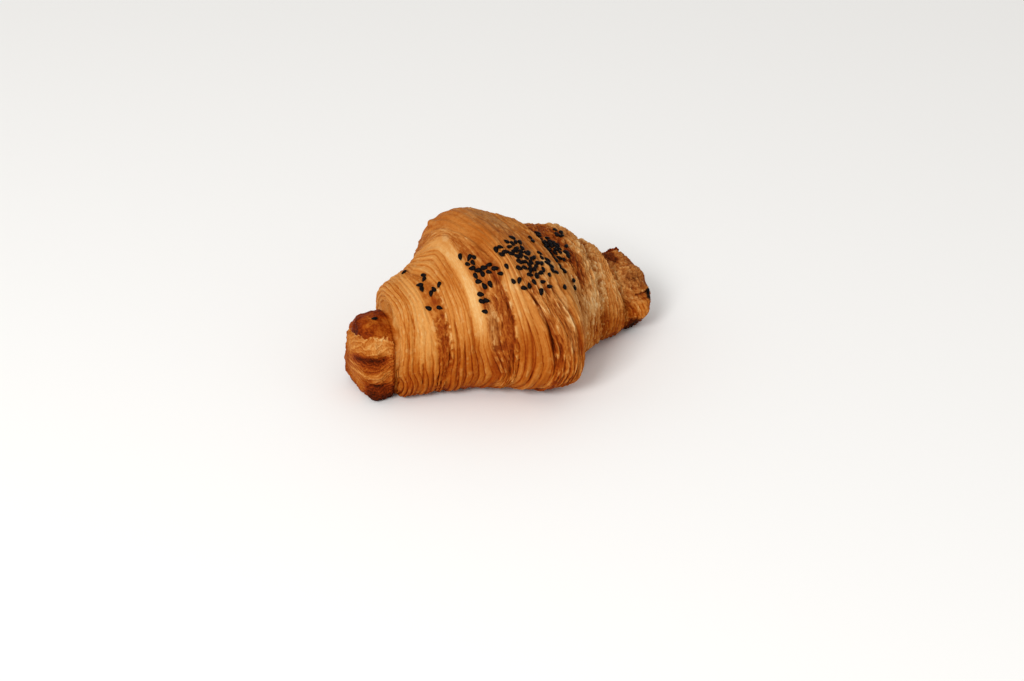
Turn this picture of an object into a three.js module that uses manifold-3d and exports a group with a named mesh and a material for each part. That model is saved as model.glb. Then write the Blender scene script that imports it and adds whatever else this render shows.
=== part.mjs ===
// A baked croissant, rolled from laminated dough, with black sesame seeds on its crust.
// The axis runs along X from the near tip at -X to the far tip at +X, the front faces -Y, and Z is up.
// All lengths are in millimetres. A station is a place along the axis, 0 at the near tip and 1 at the far tip.
// An angle round the axis is 0 at the top, positive toward the front and 180 degrees underneath.
import * as THREE from "three";
import { mergeVertices } from "three/addons/utils/BufferGeometryUtils.js";
import Module from "manifold-3d";

// Size of the whole roll
const AXIS_LENGTH = 150;
const NEAR_HEIGHT = 35.3;
const FAR_HEIGHT = 30;
const NEAR_HALF_WIDTH = 15.7;
const FAR_HALF_WIDTH = 19.5;
const NEAR_TIP_ROUNDING = 7;
const FAR_TIP_ROUNDING = 11.5;

// The hump of the core, and the belly that swells to the front
const HUMP = { height: 19, station: 0.373, nearSpread: 0.155, farSpread: 0.205 };
const BELLY = { front: 30.5, back: 6, station: 0.502, nearSpread: 0.225, farSpread: 0.16 };

// Cross-section: how much of the height lies above the axis, and how square each half is
const UPPER_SHARE = 0.54;
const LOWER_SHARE = 1 - UPPER_SHARE;
const UPPER_SQUARENESS = 2.1;
const LOWER_SQUARENESS = 3.2;
const BASE_SINK = 0.7;

// The flat foot that the croissant rests on, as corners in X and Y, and how fast the underside rises beyond it
const FOOT = [
  [-66, -6.2],
  [-6, -22.7],
  [60, -8.7],
  [61, 4],
  [24, 9.8],
  [-66, 5.8],
];
const UNDERSIDE_SLOPE = 0.1;

// The three wraps of dough, from the outermost to the one in the middle. A wrap starts at its near foot,
// climbs over its near run with a gentle or a blunt start, and ends at its far foot.
const WRAPS = [
  { nearFoot: 0.115, nearRun: 0.055, farFoot: 0.868, farRun: 0.094, thickness: 10.8, fullness: 2.4, gentleness: 0.9 },
  { nearFoot: 0.232, nearRun: 0.104, farFoot: 0.777, farRun: 0.078, thickness: 8.2, fullness: 1.1, gentleness: 2.2 },
  { nearFoot: 0.354, nearRun: 0.07, farFoot: 0.61, farRun: 0.074, thickness: 2.8, fullness: 1.7, gentleness: 1 },
];
const SIDE_SHARE = 0.55;

// How far the wraps lean along the axis between the top and the front, as a share of its length
const LEANS = [
  { station: 0, lean: 0 },
  { station: 0.118, lean: -0.026 },
  { station: 0.237, lean: -0.008 },
  { station: 0.37, lean: 0.02 },
  { station: 0.52, lean: 0.01 },
  { station: 0.62, lean: -0.025 },
  { station: 0.78, lean: -0.03 },
  { station: 0.86, lean: -0.01 },
  { station: 1, lean: 0 },
];

// Cut edges of the dough, where its layers show as ridges, and whether they step up toward the far tip
const CUT_EDGES = [
  { from: 0.12, to: 0.192, ridges: 5, stepsUp: true },
  { from: 0.236, to: 0.306, ridges: 5, stepsUp: true },
  { from: 0.357, to: 0.402, ridges: 3, stepsUp: true },
  { from: 0.53, to: 0.604, ridges: 4, stepsUp: false },
  { from: 0.704, to: 0.772, ridges: 4, stepsUp: false },
  { from: 0.806, to: 0.862, ridges: 4, stepsUp: false },
];
const RIDGE_DEPTH = 0.7;

// Grooves that run round the roll, each with its depth and half width
const GROOVES = [
  { station: 0.112, depth: 1.3, halfWidth: 0.007 },
  { station: 0.23, depth: 0.9, halfWidth: 0.006 },
  { station: 0.353, depth: 0.8, halfWidth: 0.006 },
  { station: 0.408, depth: 0.8, halfWidth: 0.005 },
  { station: 0.506, depth: 0.7, halfWidth: 0.006 },
  { station: 0.614, depth: 1.3, halfWidth: 0.008 },
  { station: 0.782, depth: 1.1, halfWidth: 0.007 },
  { station: 0.872, depth: 1.4, halfWidth: 0.008 },
];

// The crumpled near tip, laid out on a flat chart that faces its front left, in degrees from the front:
// across runs to the right and height up. Folds lie only where the crust faces the chart from far enough
const TIP_REACH = 0.1;
const TIP_CHART = { turn: 30, from: 26, to: 36 };
const TIP_PATCH = { across: -56, height: 31.8, sag: 0.03, rise: 0.9, softness: 0.8 };
const TIP_FOLDS = [
  { across: -56.5, height: 22.4, halfWidth: 8.5, halfHeight: 3.4, slope: 0.2, rise: -2.2 },
  { across: -58, height: 17.6, halfWidth: 8, halfHeight: 2, slope: 0.22, rise: -0.7 },
  { across: -61, height: 14, halfWidth: 7, halfHeight: 1.4, slope: 0.25, rise: 1 },
  { across: -52, height: 9.5, halfWidth: 7, halfHeight: 2, slope: 0.1, rise: -0.9 },
];

// Slow unevenness of the dough, and the pleats of the far tip
const UNEVENNESS = 0.5;
const FAR_PLEATS = { from: 0.88, count: 7, depth: 0.8 };

// Low lumps of the crust: a bulge under the far tip, a crumb behind the crown, and broad swellings at the back
const LUMPS = [
  { station: 0.93, angle: 98, radius: 4.5, rise: 3.4 },
  { station: 0.34, angle: -29, radius: 2.2, rise: 1.6 },
  { station: 0.5, angle: -25, radius: 13, rise: 0.7 },
  { station: 0.665, angle: -25, radius: 13, rise: 1.4 },
  { station: 0.915, angle: -28, radius: 9, rise: 0.8 },
];

// The flake that stands up from the back of the far tip
const FLAKE = { station: 0.941, angle: -30, length: 8, height: 3.2, thickness: 1.8 };

// Sesame seeds, and where they lie: a patch has a middle, its reach along and round the roll, how its
// stations drift round the roll, and its number of seeds
const SEED = { length: 3.2, width: 1.9, thickness: 1.2, lift: 0.15, spacing: 1.45, extraSinks: [0, 0.1, 0.2] };
const SEED_PATCHES = [
  { station: 0.067, angle: 8, along: 0, round: 0, drift: 0, count: 1 },
  { station: 0.198, angle: -15, along: 0, round: 0, drift: 0, count: 1 },
  { station: 0.223, angle: 10, along: 0.006, round: 3, drift: 0, count: 2 },
  { station: 0.205, angle: 17, along: 0.003, round: 6, drift: 0, count: 2 },
  { station: 0.245, angle: 28, along: 0, round: 0, drift: 0, count: 1 },
  { station: 0.223, angle: 29, along: 0.007, round: 1.5, drift: 0, count: 2 },
  { station: 0.198, angle: 40, along: 0, round: 0, drift: 0, count: 1 },
  { station: 0.223, angle: 45, along: 0, round: 0, drift: 0, count: 1 },
  { station: 0.308, angle: 24, along: 0, round: 0, drift: 0, count: 1 },
  { station: 0.318, angle: 34, along: 0.008, round: 4, drift: 0, count: 5 },
  { station: 0.323, angle: 42, along: 0.01, round: 2.5, drift: 0, count: 4 },
  { station: 0.335, angle: 43, along: 0.004, round: 3.5, drift: 0, count: 2 },
  { station: 0.314, angle: 46, along: 0, round: 0, drift: 0, count: 1 },
  { station: 0.325, angle: 52, along: 0.008, round: 2, drift: 0, count: 2 },
  { station: 0.308, angle: 58, along: 0.007, round: 3, drift: 0, count: 3 },
  { station: 0.306, angle: 65, along: 0, round: 0, drift: 0, count: 1 },
  { station: 0.355, angle: 48, along: 0.004, round: 3, drift: 0.004, count: 2 },
  { station: 0.384, angle: 38, along: 0.007, round: 4, drift: 0, count: 3 },
  { station: 0.375, angle: 48, along: 0, round: 0, drift: 0, count: 1 },
  { station: 0.438, angle: 34, along: 0.022, round: 2.2, drift: 0, count: 5 },
  { station: 0.41, angle: 40, along: 0.022, round: 2, drift: 0, count: 4 },
  { station: 0.441, angle: 46, along: 0.023, round: 7, drift: 0, count: 16 },
  { station: 0.435, angle: 53, along: 0.014, round: 2.5, drift: 0.024, count: 8 },
  { station: 0.475, angle: 50, along: 0.014, round: 3, drift: 0, count: 4 },
  { station: 0.378, angle: 57, along: 0.008, round: 1, drift: 0, count: 2 },
  { station: 0.41, angle: 60, along: 0.01, round: 1.8, drift: -0.018, count: 4 },
  { station: 0.463, angle: 60, along: 0.005, round: 2, drift: 0, count: 2 },
  { station: 0.434, angle: 64.5, along: 0, round: 0, drift: 0, count: 1 },
  { station: 0.538, angle: 27, along: 0.004, round: 5, drift: 0, count: 2 },
  { station: 0.509, angle: 45, along: 0.005, round: 3.5, drift: 0, count: 3 },
  { station: 0.527, angle: 46, along: 0, round: 0, drift: 0, count: 1 },
  { station: 0.519, angle: 52.5, along: 0.009, round: 1.5, drift: 0, count: 3 },
  { station: 0.492, angle: 56, along: 0, round: 0, drift: 0, count: 1 },
  { station: 0.527, angle: 62.5, along: 0, round: 0, drift: 0, count: 1 },
  { station: 0.622, angle: 6, along: 0.007, round: 5, drift: 0, count: 3 },
  { station: 0.647, angle: 8.5, along: 0, round: 0, drift: 0, count: 1 },
  { station: 0.632, angle: 23, along: 0.027, round: 8.5, drift: 0, count: 19 },
  { station: 0.632, angle: 37, along: 0.014, round: 4, drift: 0, count: 4 },
  { station: 0.666, angle: 34, along: 0.005, round: 2, drift: 0, count: 2 },
  { station: 0.623, angle: 46, along: 0.005, round: 1.5, drift: 0, count: 2 },
  { station: 0.648, angle: 57, along: 0.003, round: 4.5, drift: 0, count: 2 },
  { station: 0.694, angle: -4, along: 0, round: 0, drift: 0, count: 1 },
  { station: 0.696, angle: 5, along: 0.01, round: 5, drift: 0, count: 4 },
  { station: 0.691, angle: 22, along: 0.005, round: 1, drift: 0, count: 2 },
  { station: 0.962, angle: 72, along: 0, round: 0, drift: 0, count: 1 },
];
const SEED_DRAW = 20261;

// Mesh: facets round the roll, rings along it, and how close points are welded
const FACETS_ROUND = 36;
const RINGS = 108;
const WELD = 0.002;

// Colour and gloss of the crust
const CRUST = { color: 0xc07c3e, roughness: 0.45, metalness: 0 };

const wasm = await Module();
wasm.setup();

// Helpers for curves
const radians = THREE.MathUtils.degToRad;
const hill = (u) => Math.exp(-u * u);
const fraction = (u) => THREE.MathUtils.clamp(u, 0, 1);
const smooth = (low, high, u) => THREE.MathUtils.smoothstep(u, low, high);
const climb = (u, fullness) => Math.pow(1 - Math.pow(1 - fraction(u), fullness), 1 / fullness);

// A seeded draw between 0 and 1, the same on every run.
function makeDraw(seed) {
  let state = seed;
  return () => {
    state = (state * 1103515245 + 12345) % 2147483648;
    return state / 2147483648;
  };
}

// Height that the wraps add at a station.
function wrapRise(station) {
  let rise = 0;
  for (const wrap of WRAPS) {
    const start = Math.pow(fraction((station - wrap.nearFoot) / wrap.nearRun), wrap.gentleness);
    const end = (wrap.farFoot - station) / wrap.farRun;
    rise += wrap.thickness * climb(start, wrap.fullness) * climb(end, 2);
  }
  return rise;
}

// A hill along the axis that falls off faster on one side than on the other.
function hump(form, station) {
  const spread = station < form.station ? form.nearSpread : form.farSpread;
  return hill((station - form.station) / spread);
}

// Lean of the wraps at a station, eased from one named lean to the next.
function leanAt(station) {
  const next = Math.max(1, LEANS.findIndex((entry) => entry.station >= station));
  const [before, after] = [LEANS[next - 1], LEANS[next]];
  const share = smooth(before.station, after.station, station);
  return THREE.MathUtils.lerp(before.lean, after.lean, share);
}

// How much of the full section is left at a station, as both tips are rounded off.
function tipRounding(station) {
  const near = fraction(1 - (station * AXIS_LENGTH) / NEAR_TIP_ROUNDING);
  const far = fraction(1 - ((1 - station) * AXIS_LENGTH) / FAR_TIP_ROUNDING);
  return Math.sqrt(1 - Math.pow(near, 2.4)) * Math.sqrt(1 - Math.pow(far, 2));
}

// Point of the plain roll, before its relief.
function rollPoint(station, angle) {
  const side = Math.sin(angle);
  const up = Math.cos(angle);
  const rise = wrapRise(station);
  const height = THREE.MathUtils.lerp(NEAR_HEIGHT, FAR_HEIGHT, station)
    + HUMP.height * hump(HUMP, station) + rise;
  const swell = side > 0 ? BELLY.front : BELLY.back;
  const halfWidth = THREE.MathUtils.lerp(NEAR_HALF_WIDTH, FAR_HALF_WIDTH, station)
    + swell * hump(BELLY, station) + SIDE_SHARE * rise;
  const power = up > 0 ? UPPER_SQUARENESS : LOWER_SQUARENESS;
  const reach = height * (up > 0 ? UPPER_SHARE : LOWER_SHARE);
  const sum = Math.pow(Math.abs(side) / halfWidth, power) + Math.pow(Math.abs(up) / reach, power);
  const radius = Math.pow(sum, -1 / power) * tipRounding(station);
  return new THREE.Vector3(
    AXIS_LENGTH * (station + leanAt(station) * side - 0.5),
    -radius * side,
    LOWER_SHARE * height + radius * up,
  );
}

// Outward normal of the plain roll, from two short steps over its surface.
function rollNormal(station, angle) {
  const step = 0.004;
  const inside = THREE.MathUtils.clamp(station, step, 1 - step);
  const along = rollPoint(inside + step, angle).sub(rollPoint(inside - step, angle));
  const round = rollPoint(inside, angle + 0.05).sub(rollPoint(inside, angle - 0.05));
  return new THREE.Vector3().crossVectors(round, along).normalize();
}

// Ridges of the cut edges: each layer is a small step, highest at its outer rim.
function ridges(station) {
  for (const edge of CUT_EDGES) {
    const u = (station - edge.from) / (edge.to - edge.from);
    if (u <= 0 || u >= 1) continue;
    const step = ((edge.stepsUp ? u : 1 - u) * edge.ridges) % 1;
    const profile = smooth(0, 0.35, step) * (1 - 0.75 * smooth(0.4, 1, step)) - 0.5;
    return RIDGE_DEPTH * profile * Math.min(1, 8 * u * (1 - u));
  }
  return 0;
}

// Grooves where one wrap lies against the next.
function grooves(station) {
  let depth = 0;
  for (const groove of GROOVES) depth -= groove.depth * hill((station - groove.station) / groove.halfWidth);
  return depth;
}

// Folds of the crumpled near tip, on its chart, and the patch of crust over its top.
function tipFolds(station, point) {
  const turn = radians(TIP_CHART.turn);
  const across = point.x * Math.cos(turn) + point.y * Math.sin(-turn);
  const toward = -point.x * Math.sin(turn) - point.y * Math.cos(turn);
  const share = 1 - smooth(0.6 * TIP_REACH, TIP_REACH, station);
  const rim = TIP_PATCH.height - TIP_PATCH.sag * (across - TIP_PATCH.across) ** 2;
  const patch = TIP_PATCH.rise * smooth(-TIP_PATCH.softness, TIP_PATCH.softness, point.z - rim);
  let folds = 0;
  for (const fold of TIP_FOLDS) {
    const line = fold.height + fold.slope * (across - fold.across);
    folds += fold.rise * hill((across - fold.across) / fold.halfWidth) * hill((point.z - line) / fold.halfHeight);
  }
  return share * (patch + folds * smooth(TIP_CHART.from, TIP_CHART.to, toward));
}

// Pleats of the far tip, which run along it.
function farPleats(station, angle) {
  const share = smooth(FAR_PLEATS.from, FAR_PLEATS.from + 0.06, station);
  return share * FAR_PLEATS.depth * Math.cos(FAR_PLEATS.count * angle + 9 * station);
}

// Low lumps, each a hill round its own middle.
function lumps(point) {
  let rise = 0;
  for (const lump of LUMPS) {
    const middle = rollPoint(lump.station, radians(lump.angle));
    rise += lump.rise * hill(point.distanceTo(middle) / lump.radius);
  }
  return rise;
}

// Slow unevenness that keeps the roll from looking turned.
function unevenness(station, angle) {
  return UNEVENNESS * (Math.sin(19 * station + 2 * angle) + Math.sin(31 * station - 3 * angle + 1)) / 2;
}

// Point of the crust with its relief, before the underside is trimmed.
function crustPoint(station, angle) {
  const point = rollPoint(station, angle);
  const relief = ridges(station) + grooves(station) + tipFolds(station, point)
    + farPleats(station, angle) + unevenness(station, angle) + lumps(point);
  const poleFade = smooth(0, 0.02, station) * smooth(0, 0.02, 1 - station);
  point.addScaledVector(rollNormal(station, angle), relief * poleFade);
  point.z -= BASE_SINK;
  return point;
}

// Angles of the facets, closer together over the top and sides than underneath.
function facetAngles() {
  const angles = [];
  for (let k = 0; k < FACETS_ROUND; k += 1) {
    const turn = (2 * Math.PI * k) / FACETS_ROUND;
    angles.push(turn - 0.22 * Math.sin(turn));
  }
  return angles;
}

// How closely the rings stand at a station: most at the tips, on the cut edges and in the grooves.
function ringDensity(station) {
  let density = 0.55 + 7 * hill(station / 0.012) + 6 * hill((1 - station) / 0.02);
  for (const edge of CUT_EDGES) {
    const inside = smooth(0, 0.02, station - edge.from) * smooth(0, 0.02, edge.to - station);
    density += (0.03 * edge.ridges * inside) / (edge.to - edge.from);
  }
  for (const groove of GROOVES) density += 1.3 * hill((station - groove.station) / 0.012);
  return density;
}

// Stations of the rings, spread by their density.
function ringStations() {
  const samples = 4000;
  const sums = [0];
  for (let k = 0; k < samples; k += 1) sums.push(sums[k] + ringDensity((k + 0.5) / samples));
  const stations = [];
  let at = 0;
  for (let ring = 1; ring <= RINGS; ring += 1) {
    const target = (sums[samples] * ring) / (RINGS + 1);
    while (sums[at + 1] < target) at += 1;
    stations.push((at + (target - sums[at]) / (sums[at + 1] - sums[at])) / samples);
  }
  return stations;
}

// Closed mesh of the crust: rings between two pole points.
function crustGeometry() {
  const points = [crustPoint(0, 0)];
  const angles = facetAngles();
  for (const station of ringStations()) {
    for (const angle of angles) points.push(crustPoint(station, angle));
  }
  points.push(crustPoint(1, 0));
  const index = [];
  const at = (ring, facet) => 1 + ring * FACETS_ROUND + (facet % FACETS_ROUND);
  const last = points.length - 1;
  for (let facet = 0; facet < FACETS_ROUND; facet += 1) {
    index.push(0, at(0, facet + 1), at(0, facet));
    index.push(last, at(RINGS - 1, facet), at(RINGS - 1, facet + 1));
    for (let ring = 0; ring < RINGS - 1; ring += 1) {
      index.push(at(ring, facet), at(ring, facet + 1), at(ring + 1, facet));
      index.push(at(ring, facet + 1), at(ring + 1, facet + 1), at(ring + 1, facet));
    }
  }
  return new THREE.BufferGeometry().setFromPoints(points).setIndex(index);
}

// One sesame seed: a flat drop, narrower at one end.
function seedGeometry() {
  const seed = new THREE.IcosahedronGeometry(0.5, 0);
  const position = seed.attributes.position;
  for (let k = 0; k < position.count; k += 1) {
    const taper = 1 - 0.45 * position.getX(k);
    position.setXYZ(
      k,
      position.getX(k) * SEED.length,
      position.getY(k) * SEED.width * taper,
      position.getZ(k) * SEED.thickness * taper,
    );
  }
  return seed;
}

// Frame that stands on the crust at a place: Z outward, X turned by a heading.
function standOn(station, angle, heading, lift) {
  const normal = rollNormal(station, angle);
  const side = new THREE.Vector3(Math.cos(heading), Math.sin(heading), 0.3).cross(normal).normalize();
  const forward = new THREE.Vector3().crossVectors(side, normal);
  const place = crustPoint(station, angle).addScaledVector(normal, lift);
  return new THREE.Matrix4().makeBasis(forward, side.negate(), normal).setPosition(place);
}

// Places of the seeds: each patch is filled at random, with room kept between seeds.
function seedFrames() {
  const draw = makeDraw(SEED_DRAW);
  const frames = [];
  const taken = [];
  for (const patch of SEED_PATCHES) {
    for (let k = 0; k < patch.count; k += 1) {
      for (let attempt = 0; attempt < 40; attempt += 1) {
        const reach = Math.sqrt(draw());
        const turn = 2 * Math.PI * draw();
        const heading = 2 * Math.PI * draw();
        const round = reach * Math.sin(turn);
        const station = patch.station + patch.along * reach * Math.cos(turn) + patch.drift * round;
        const angle = radians(patch.angle + patch.round * round);
        const place = crustPoint(station, angle);
        if (taken.some((other) => other.distanceTo(place) < SEED.spacing)) continue;
        taken.push(place);
        frames.push(standOn(station, angle, heading, SEED.lift));
        break;
      }
    }
  }
  return frames;
}

// The flake: a thin three-cornered sheet that curls up from the crust.
function flakeSolid() {
  const outline = new THREE.Shape();
  outline.moveTo(-FLAKE.length, -2);
  outline.lineTo(1.6, -2);
  outline.lineTo(1.1, FLAKE.height);
  outline.lineTo(-0.9, FLAKE.height - 0.4);
  outline.quadraticCurveTo(-2.4, 1.5, -FLAKE.length, 0.3);
  outline.closePath();
  const sheet = new THREE.ExtrudeGeometry(outline, { depth: FLAKE.thickness, bevelEnabled: false, curveSegments: 4 });
  sheet.translate(0, 0, -FLAKE.thickness / 2);
  sheet.rotateX(Math.PI / 2);
  sheet.applyMatrix4(
    new THREE.Matrix4().makeRotationX(radians(FLAKE.angle)).setPosition(
      crustPoint(FLAKE.station, radians(FLAKE.angle))),
  );
  return toSolid(sheet);
}

// Geometry with its points welded, and nothing but points and faces left.
function weld(geometry) {
  const bare = geometry.clone();
  bare.deleteAttribute("normal");
  bare.deleteAttribute("uv");
  return mergeVertices(bare, WELD);
}

// Welded geometry as a solid that can be joined to others.
function toSolid(geometry) {
  const welded = weld(geometry);
  return new wasm.Manifold(
    new wasm.Mesh({
      numProp: 3,
      vertProperties: new Float32Array(welded.attributes.position.array),
      triVerts: new Uint32Array(welded.index.array),
    }),
  );
}

// Solid as a plain geometry of points and faces.
function toGeometry(solid) {
  const mesh = solid.getMesh();
  const geometry = new THREE.BufferGeometry();
  geometry.setAttribute("position", new THREE.BufferAttribute(mesh.vertProperties, 3));
  geometry.setIndex(new THREE.BufferAttribute(mesh.triVerts, 1));
  return geometry;
}

// Whether a solid is one piece whose every edge, once welded, lies between exactly two faces.
function isSound(solid) {
  if (solid.decompose().length > 1) return false;
  const index = weld(toGeometry(solid)).index.array;
  const edges = new Float64Array(index.length);
  for (let k = 0; k < index.length; k += 1) {
    const start = index[k];
    const end = index[k % 3 === 2 ? k - 2 : k + 1];
    edges[k] = Math.min(start, end) * 1e6 + Math.max(start, end);
  }
  edges.sort();
  return edges.every((edge, k) => (k % 2 === 0 ? edge === edges[k + 1] && edge !== edges[k + 2] : true));
}

// The body with one more piece joined, or null where the joint would leave a pocket or a scrap.
function joined(body, piece) {
  const whole = toSolid(toGeometry(body.add(piece)));
  return isSound(whole) ? whole : null;
}

// The body cut flat at its foot. Beyond each side of the foot a plane lets the underside rise outward.
function trimmedUnderside(body) {
  let trimmed = body.trimByPlane([0, 0, 1], 0);
  FOOT.forEach(([x, y], corner) => {
    const [nextX, nextY] = FOOT[(corner + 1) % FOOT.length];
    const outward = new THREE.Vector3(nextY - y, x - nextX, 0).normalize();
    const plane = outward.multiplyScalar(-UNDERSIDE_SLOPE).add(new THREE.Vector3(0, 0, 1)).normalize();
    trimmed = trimmed.trimByPlane(plane.toArray(), plane.dot(new THREE.Vector3(x, y, 0)));
  });
  return trimmed;
}

// Crust, flake and seeds in one solid. A seed that doesn't join cleanly is sunk deeper, then skipped.
function croissantSolid() {
  let body = joined(trimmedUnderside(toSolid(crustGeometry())), flakeSolid());
  const seed = seedGeometry();
  for (const frame of seedFrames()) {
    for (const extra of SEED.extraSinks) {
      const sunk = new THREE.Matrix4().makeTranslation(0, 0, -extra);
      const whole = joined(body, toSolid(seed.clone().applyMatrix4(frame.clone().multiply(sunk))));
      if (whole) {
        body = whole;
        break;
      }
    }
  }
  return body;
}

// Solid as a flat-shaded geometry, its origin at the middle of its base.
function centredGeometry(solid) {
  const geometry = toGeometry(solid);
  geometry.computeBoundingBox();
  const box = geometry.boundingBox;
  const middle = box.getCenter(new THREE.Vector3());
  geometry.translate(-middle.x, -middle.y, -box.min.z);
  const faceted = geometry.toNonIndexed();
  faceted.computeVertexNormals();
  return faceted;
}

// The finished part
function croissant() {
  const mesh = new THREE.Mesh(centredGeometry(croissantSolid()), new THREE.MeshStandardMaterial(CRUST));
  mesh.name = "croissant";
  const part = new THREE.Group();
  part.name = "cheese_croissant";
  part.add(mesh);
  return part;
}

export default croissant();
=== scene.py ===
"""Looks of a baked croissant with black sesame seeds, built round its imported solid.

The roll's axis runs along X from the near tip at -X to the far tip at +X, its front faces -Y and Z is up.
A station is a place along the axis, 0 at the near tip and 1 at the far tip. An angle is 0 at the top of
the roll, positive toward the front and half a turn underneath. A layer station follows the borders of the
wraps, which run askew, so that every layer has one of its own. Sizes are in millimetres until a mesh is made.
"""

import logging
import math
from dataclasses import dataclass
from enum import Enum
from functools import cached_property

import bpy
import numpy as np
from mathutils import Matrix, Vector
from numpy.typing import NDArray

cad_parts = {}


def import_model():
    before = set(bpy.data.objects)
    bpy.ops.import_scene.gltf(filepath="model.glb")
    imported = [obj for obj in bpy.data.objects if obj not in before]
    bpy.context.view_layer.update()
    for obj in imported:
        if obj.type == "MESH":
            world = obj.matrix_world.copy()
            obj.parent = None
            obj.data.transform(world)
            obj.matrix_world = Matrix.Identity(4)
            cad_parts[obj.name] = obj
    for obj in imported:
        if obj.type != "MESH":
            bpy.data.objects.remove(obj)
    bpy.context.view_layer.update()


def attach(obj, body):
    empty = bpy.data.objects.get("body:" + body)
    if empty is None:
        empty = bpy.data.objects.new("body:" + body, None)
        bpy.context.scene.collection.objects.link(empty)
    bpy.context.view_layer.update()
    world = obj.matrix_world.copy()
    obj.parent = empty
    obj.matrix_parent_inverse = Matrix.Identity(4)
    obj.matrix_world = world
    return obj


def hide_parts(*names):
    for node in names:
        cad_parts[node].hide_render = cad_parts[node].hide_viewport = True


Array = NDArray[np.float64]
Feed = float | tuple[float, ...] | bpy.types.NodeSocket

LOG = logging.getLogger("croissant")
NODE = "croissant"
BODY = "root"
MILLIMETRE = 0.001
BAKE_ATTRIBUTE = "bake"


class Slot(Enum):
    """Material slots."""

    CRUST = "crust"
    SESAME = "sesame"


class End(Enum):
    """How a stretch of the roll ends: closed at a tip, lying over its neighbour, or running on under it."""

    TIP = "tip"
    OVER = "over"
    UNDER = "under"


# Curves


def fraction(value: Array) -> Array:
    """Value held between 0 and 1."""
    return np.clip(value, 0.0, 1.0)


def smooth(low: float, high: float, value: Array) -> Array:
    """Eased step from 0 at low to 1 at high: three times the square less twice the cube."""
    share = fraction((value - low) / (high - low))
    return share * share * (3.0 - 2.0 * share)


def hill(value: Array) -> Array:
    """Bell curve that is 1 at 0: e to the power of minus the square."""
    return np.exp(-np.square(value))


def climb(value: Array, fullness: float) -> Array:
    """Rise from 0 to 1 along a superellipse: blunt at its foot and level at its top."""
    rest = np.power(1.0 - fraction(value), fullness)
    return np.power(1.0 - rest, 1.0 / fullness)


def mix(low: Array, high: Array, share: Array) -> Array:
    """Straight blend from low to high."""
    return low + (high - low) * share


def crest(value: Array) -> Array:
    """Sharp ridge where noise crosses zero: 1 less 2.6 times the noise's size, and not below 0."""
    return fraction(1.0 - 2.6 * np.abs(value))


def turn_of(angle: Array) -> Array:
    """Angle in degrees from -180 to 180."""
    return np.degrees(np.arctan2(np.sin(angle), np.cos(angle)))


def terraces(value: Array, riser: float) -> tuple[Array, Array]:
    """Flat plates with steep steps between them, as torn sheets of dough lie on one another.

    Args:
        value: smooth height, in plates.
        riser: share of a plate over which the step rises.

    Returns:
        Stepped height in plates, and an edge line that is 1 on the rim of a plate and -1 at its foot.
    """
    # Callers use the edge line to paint a highlight on each rim and a shadow at each foot.
    whole = np.floor(value)
    part = value - whole
    rim = hill((part - riser - 0.07) / 0.1)
    foot = hill(np.minimum(part, 1.0 - part) / 0.08)
    return whole + smooth(0.0, riser, part), rim - foot


@dataclass(frozen=True)
class Grain:
    """Seeded smooth noise in space: random values on a cubic lattice, eased from one to the next."""

    seed: int
    cells: int = 40

    @cached_property
    def lattice(self) -> Array:
        """Random values from -1 to 1, one for each lattice point."""
        return np.random.default_rng(self.seed).uniform(-1.0, 1.0, (self.cells,) * 3)

    def at(self, x: Array, y: Array, z: Array) -> Array:
        """Noise at points: the eight lattice values round each point, weighed by eased distances.

        Args:
            x: first coordinates, in lattice cells.
            y: second coordinates.
            z: third coordinates.

        Returns:
            Values from -1 to 1.
        """
        axes = np.broadcast_arrays(x, y, z)
        floors = [np.floor(axis) for axis in axes]
        eased = []
        for axis, low in zip(axes, floors):
            part = axis - low
            eased.append(part**3 * (part * (6.0 * part - 15.0) + 10.0))
        total = np.zeros(axes[0].shape)
        for corner in np.ndindex(2, 2, 2):
            index = []
            weight = np.ones(axes[0].shape)
            for step, low, part in zip(corner, floors, eased):
                index.append((low.astype(np.int64) + step) % self.cells)
                weight = weight * (part if step else 1.0 - part)
            total = total + weight * self.lattice[tuple(index)]
        return total

    def layered(self, x: Array, y: Array, z: Array, octaves: int = 3) -> Array:
        """Sum of noises, each twice as fine and half as strong as the one before.

        Args:
            x: first coordinates, in cells of the coarsest noise.
            y: second coordinates.
            z: third coordinates.
            octaves: how many noises are added.

        Returns:
            Values from about -1 to 1.
        """
        total = np.zeros(np.broadcast(x, y, z).shape)
        strength = 0.55
        for octave in range(octaves):
            scale = 2.0**octave
            total = total + strength * self.at(x * scale + 7.3 * octave, y * scale + 3.1 * octave, z * scale)
            strength = strength * 0.5
        return total


# The plain roll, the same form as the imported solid


@dataclass(frozen=True)
class Wrap:
    """One wrap of dough: it climbs over its near run and ends at its far foot."""

    near_foot: float
    near_run: float
    far_foot: float
    far_run: float
    thickness: float
    fullness: float
    gentleness: float

    def rise(self, station: Array) -> Array:
        """Height that this wrap adds: its thickness times the climb at each of its two ends."""
        start = np.power(fraction((station - self.near_foot) / self.near_run), self.gentleness)
        end = (self.far_foot - station) / self.far_run
        return self.thickness * climb(start, self.fullness) * climb(end, 2.0)


@dataclass(frozen=True)
class Swell:
    """A hill along the axis that falls off faster on one side than on the other."""

    station: float
    near_spread: float
    far_spread: float

    def at(self, station: Array) -> Array:
        """Bell curve over the distance from the middle, in spreads."""
        spread = np.where(station < self.station, self.near_spread, self.far_spread)
        return hill((station - self.station) / spread)


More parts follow.
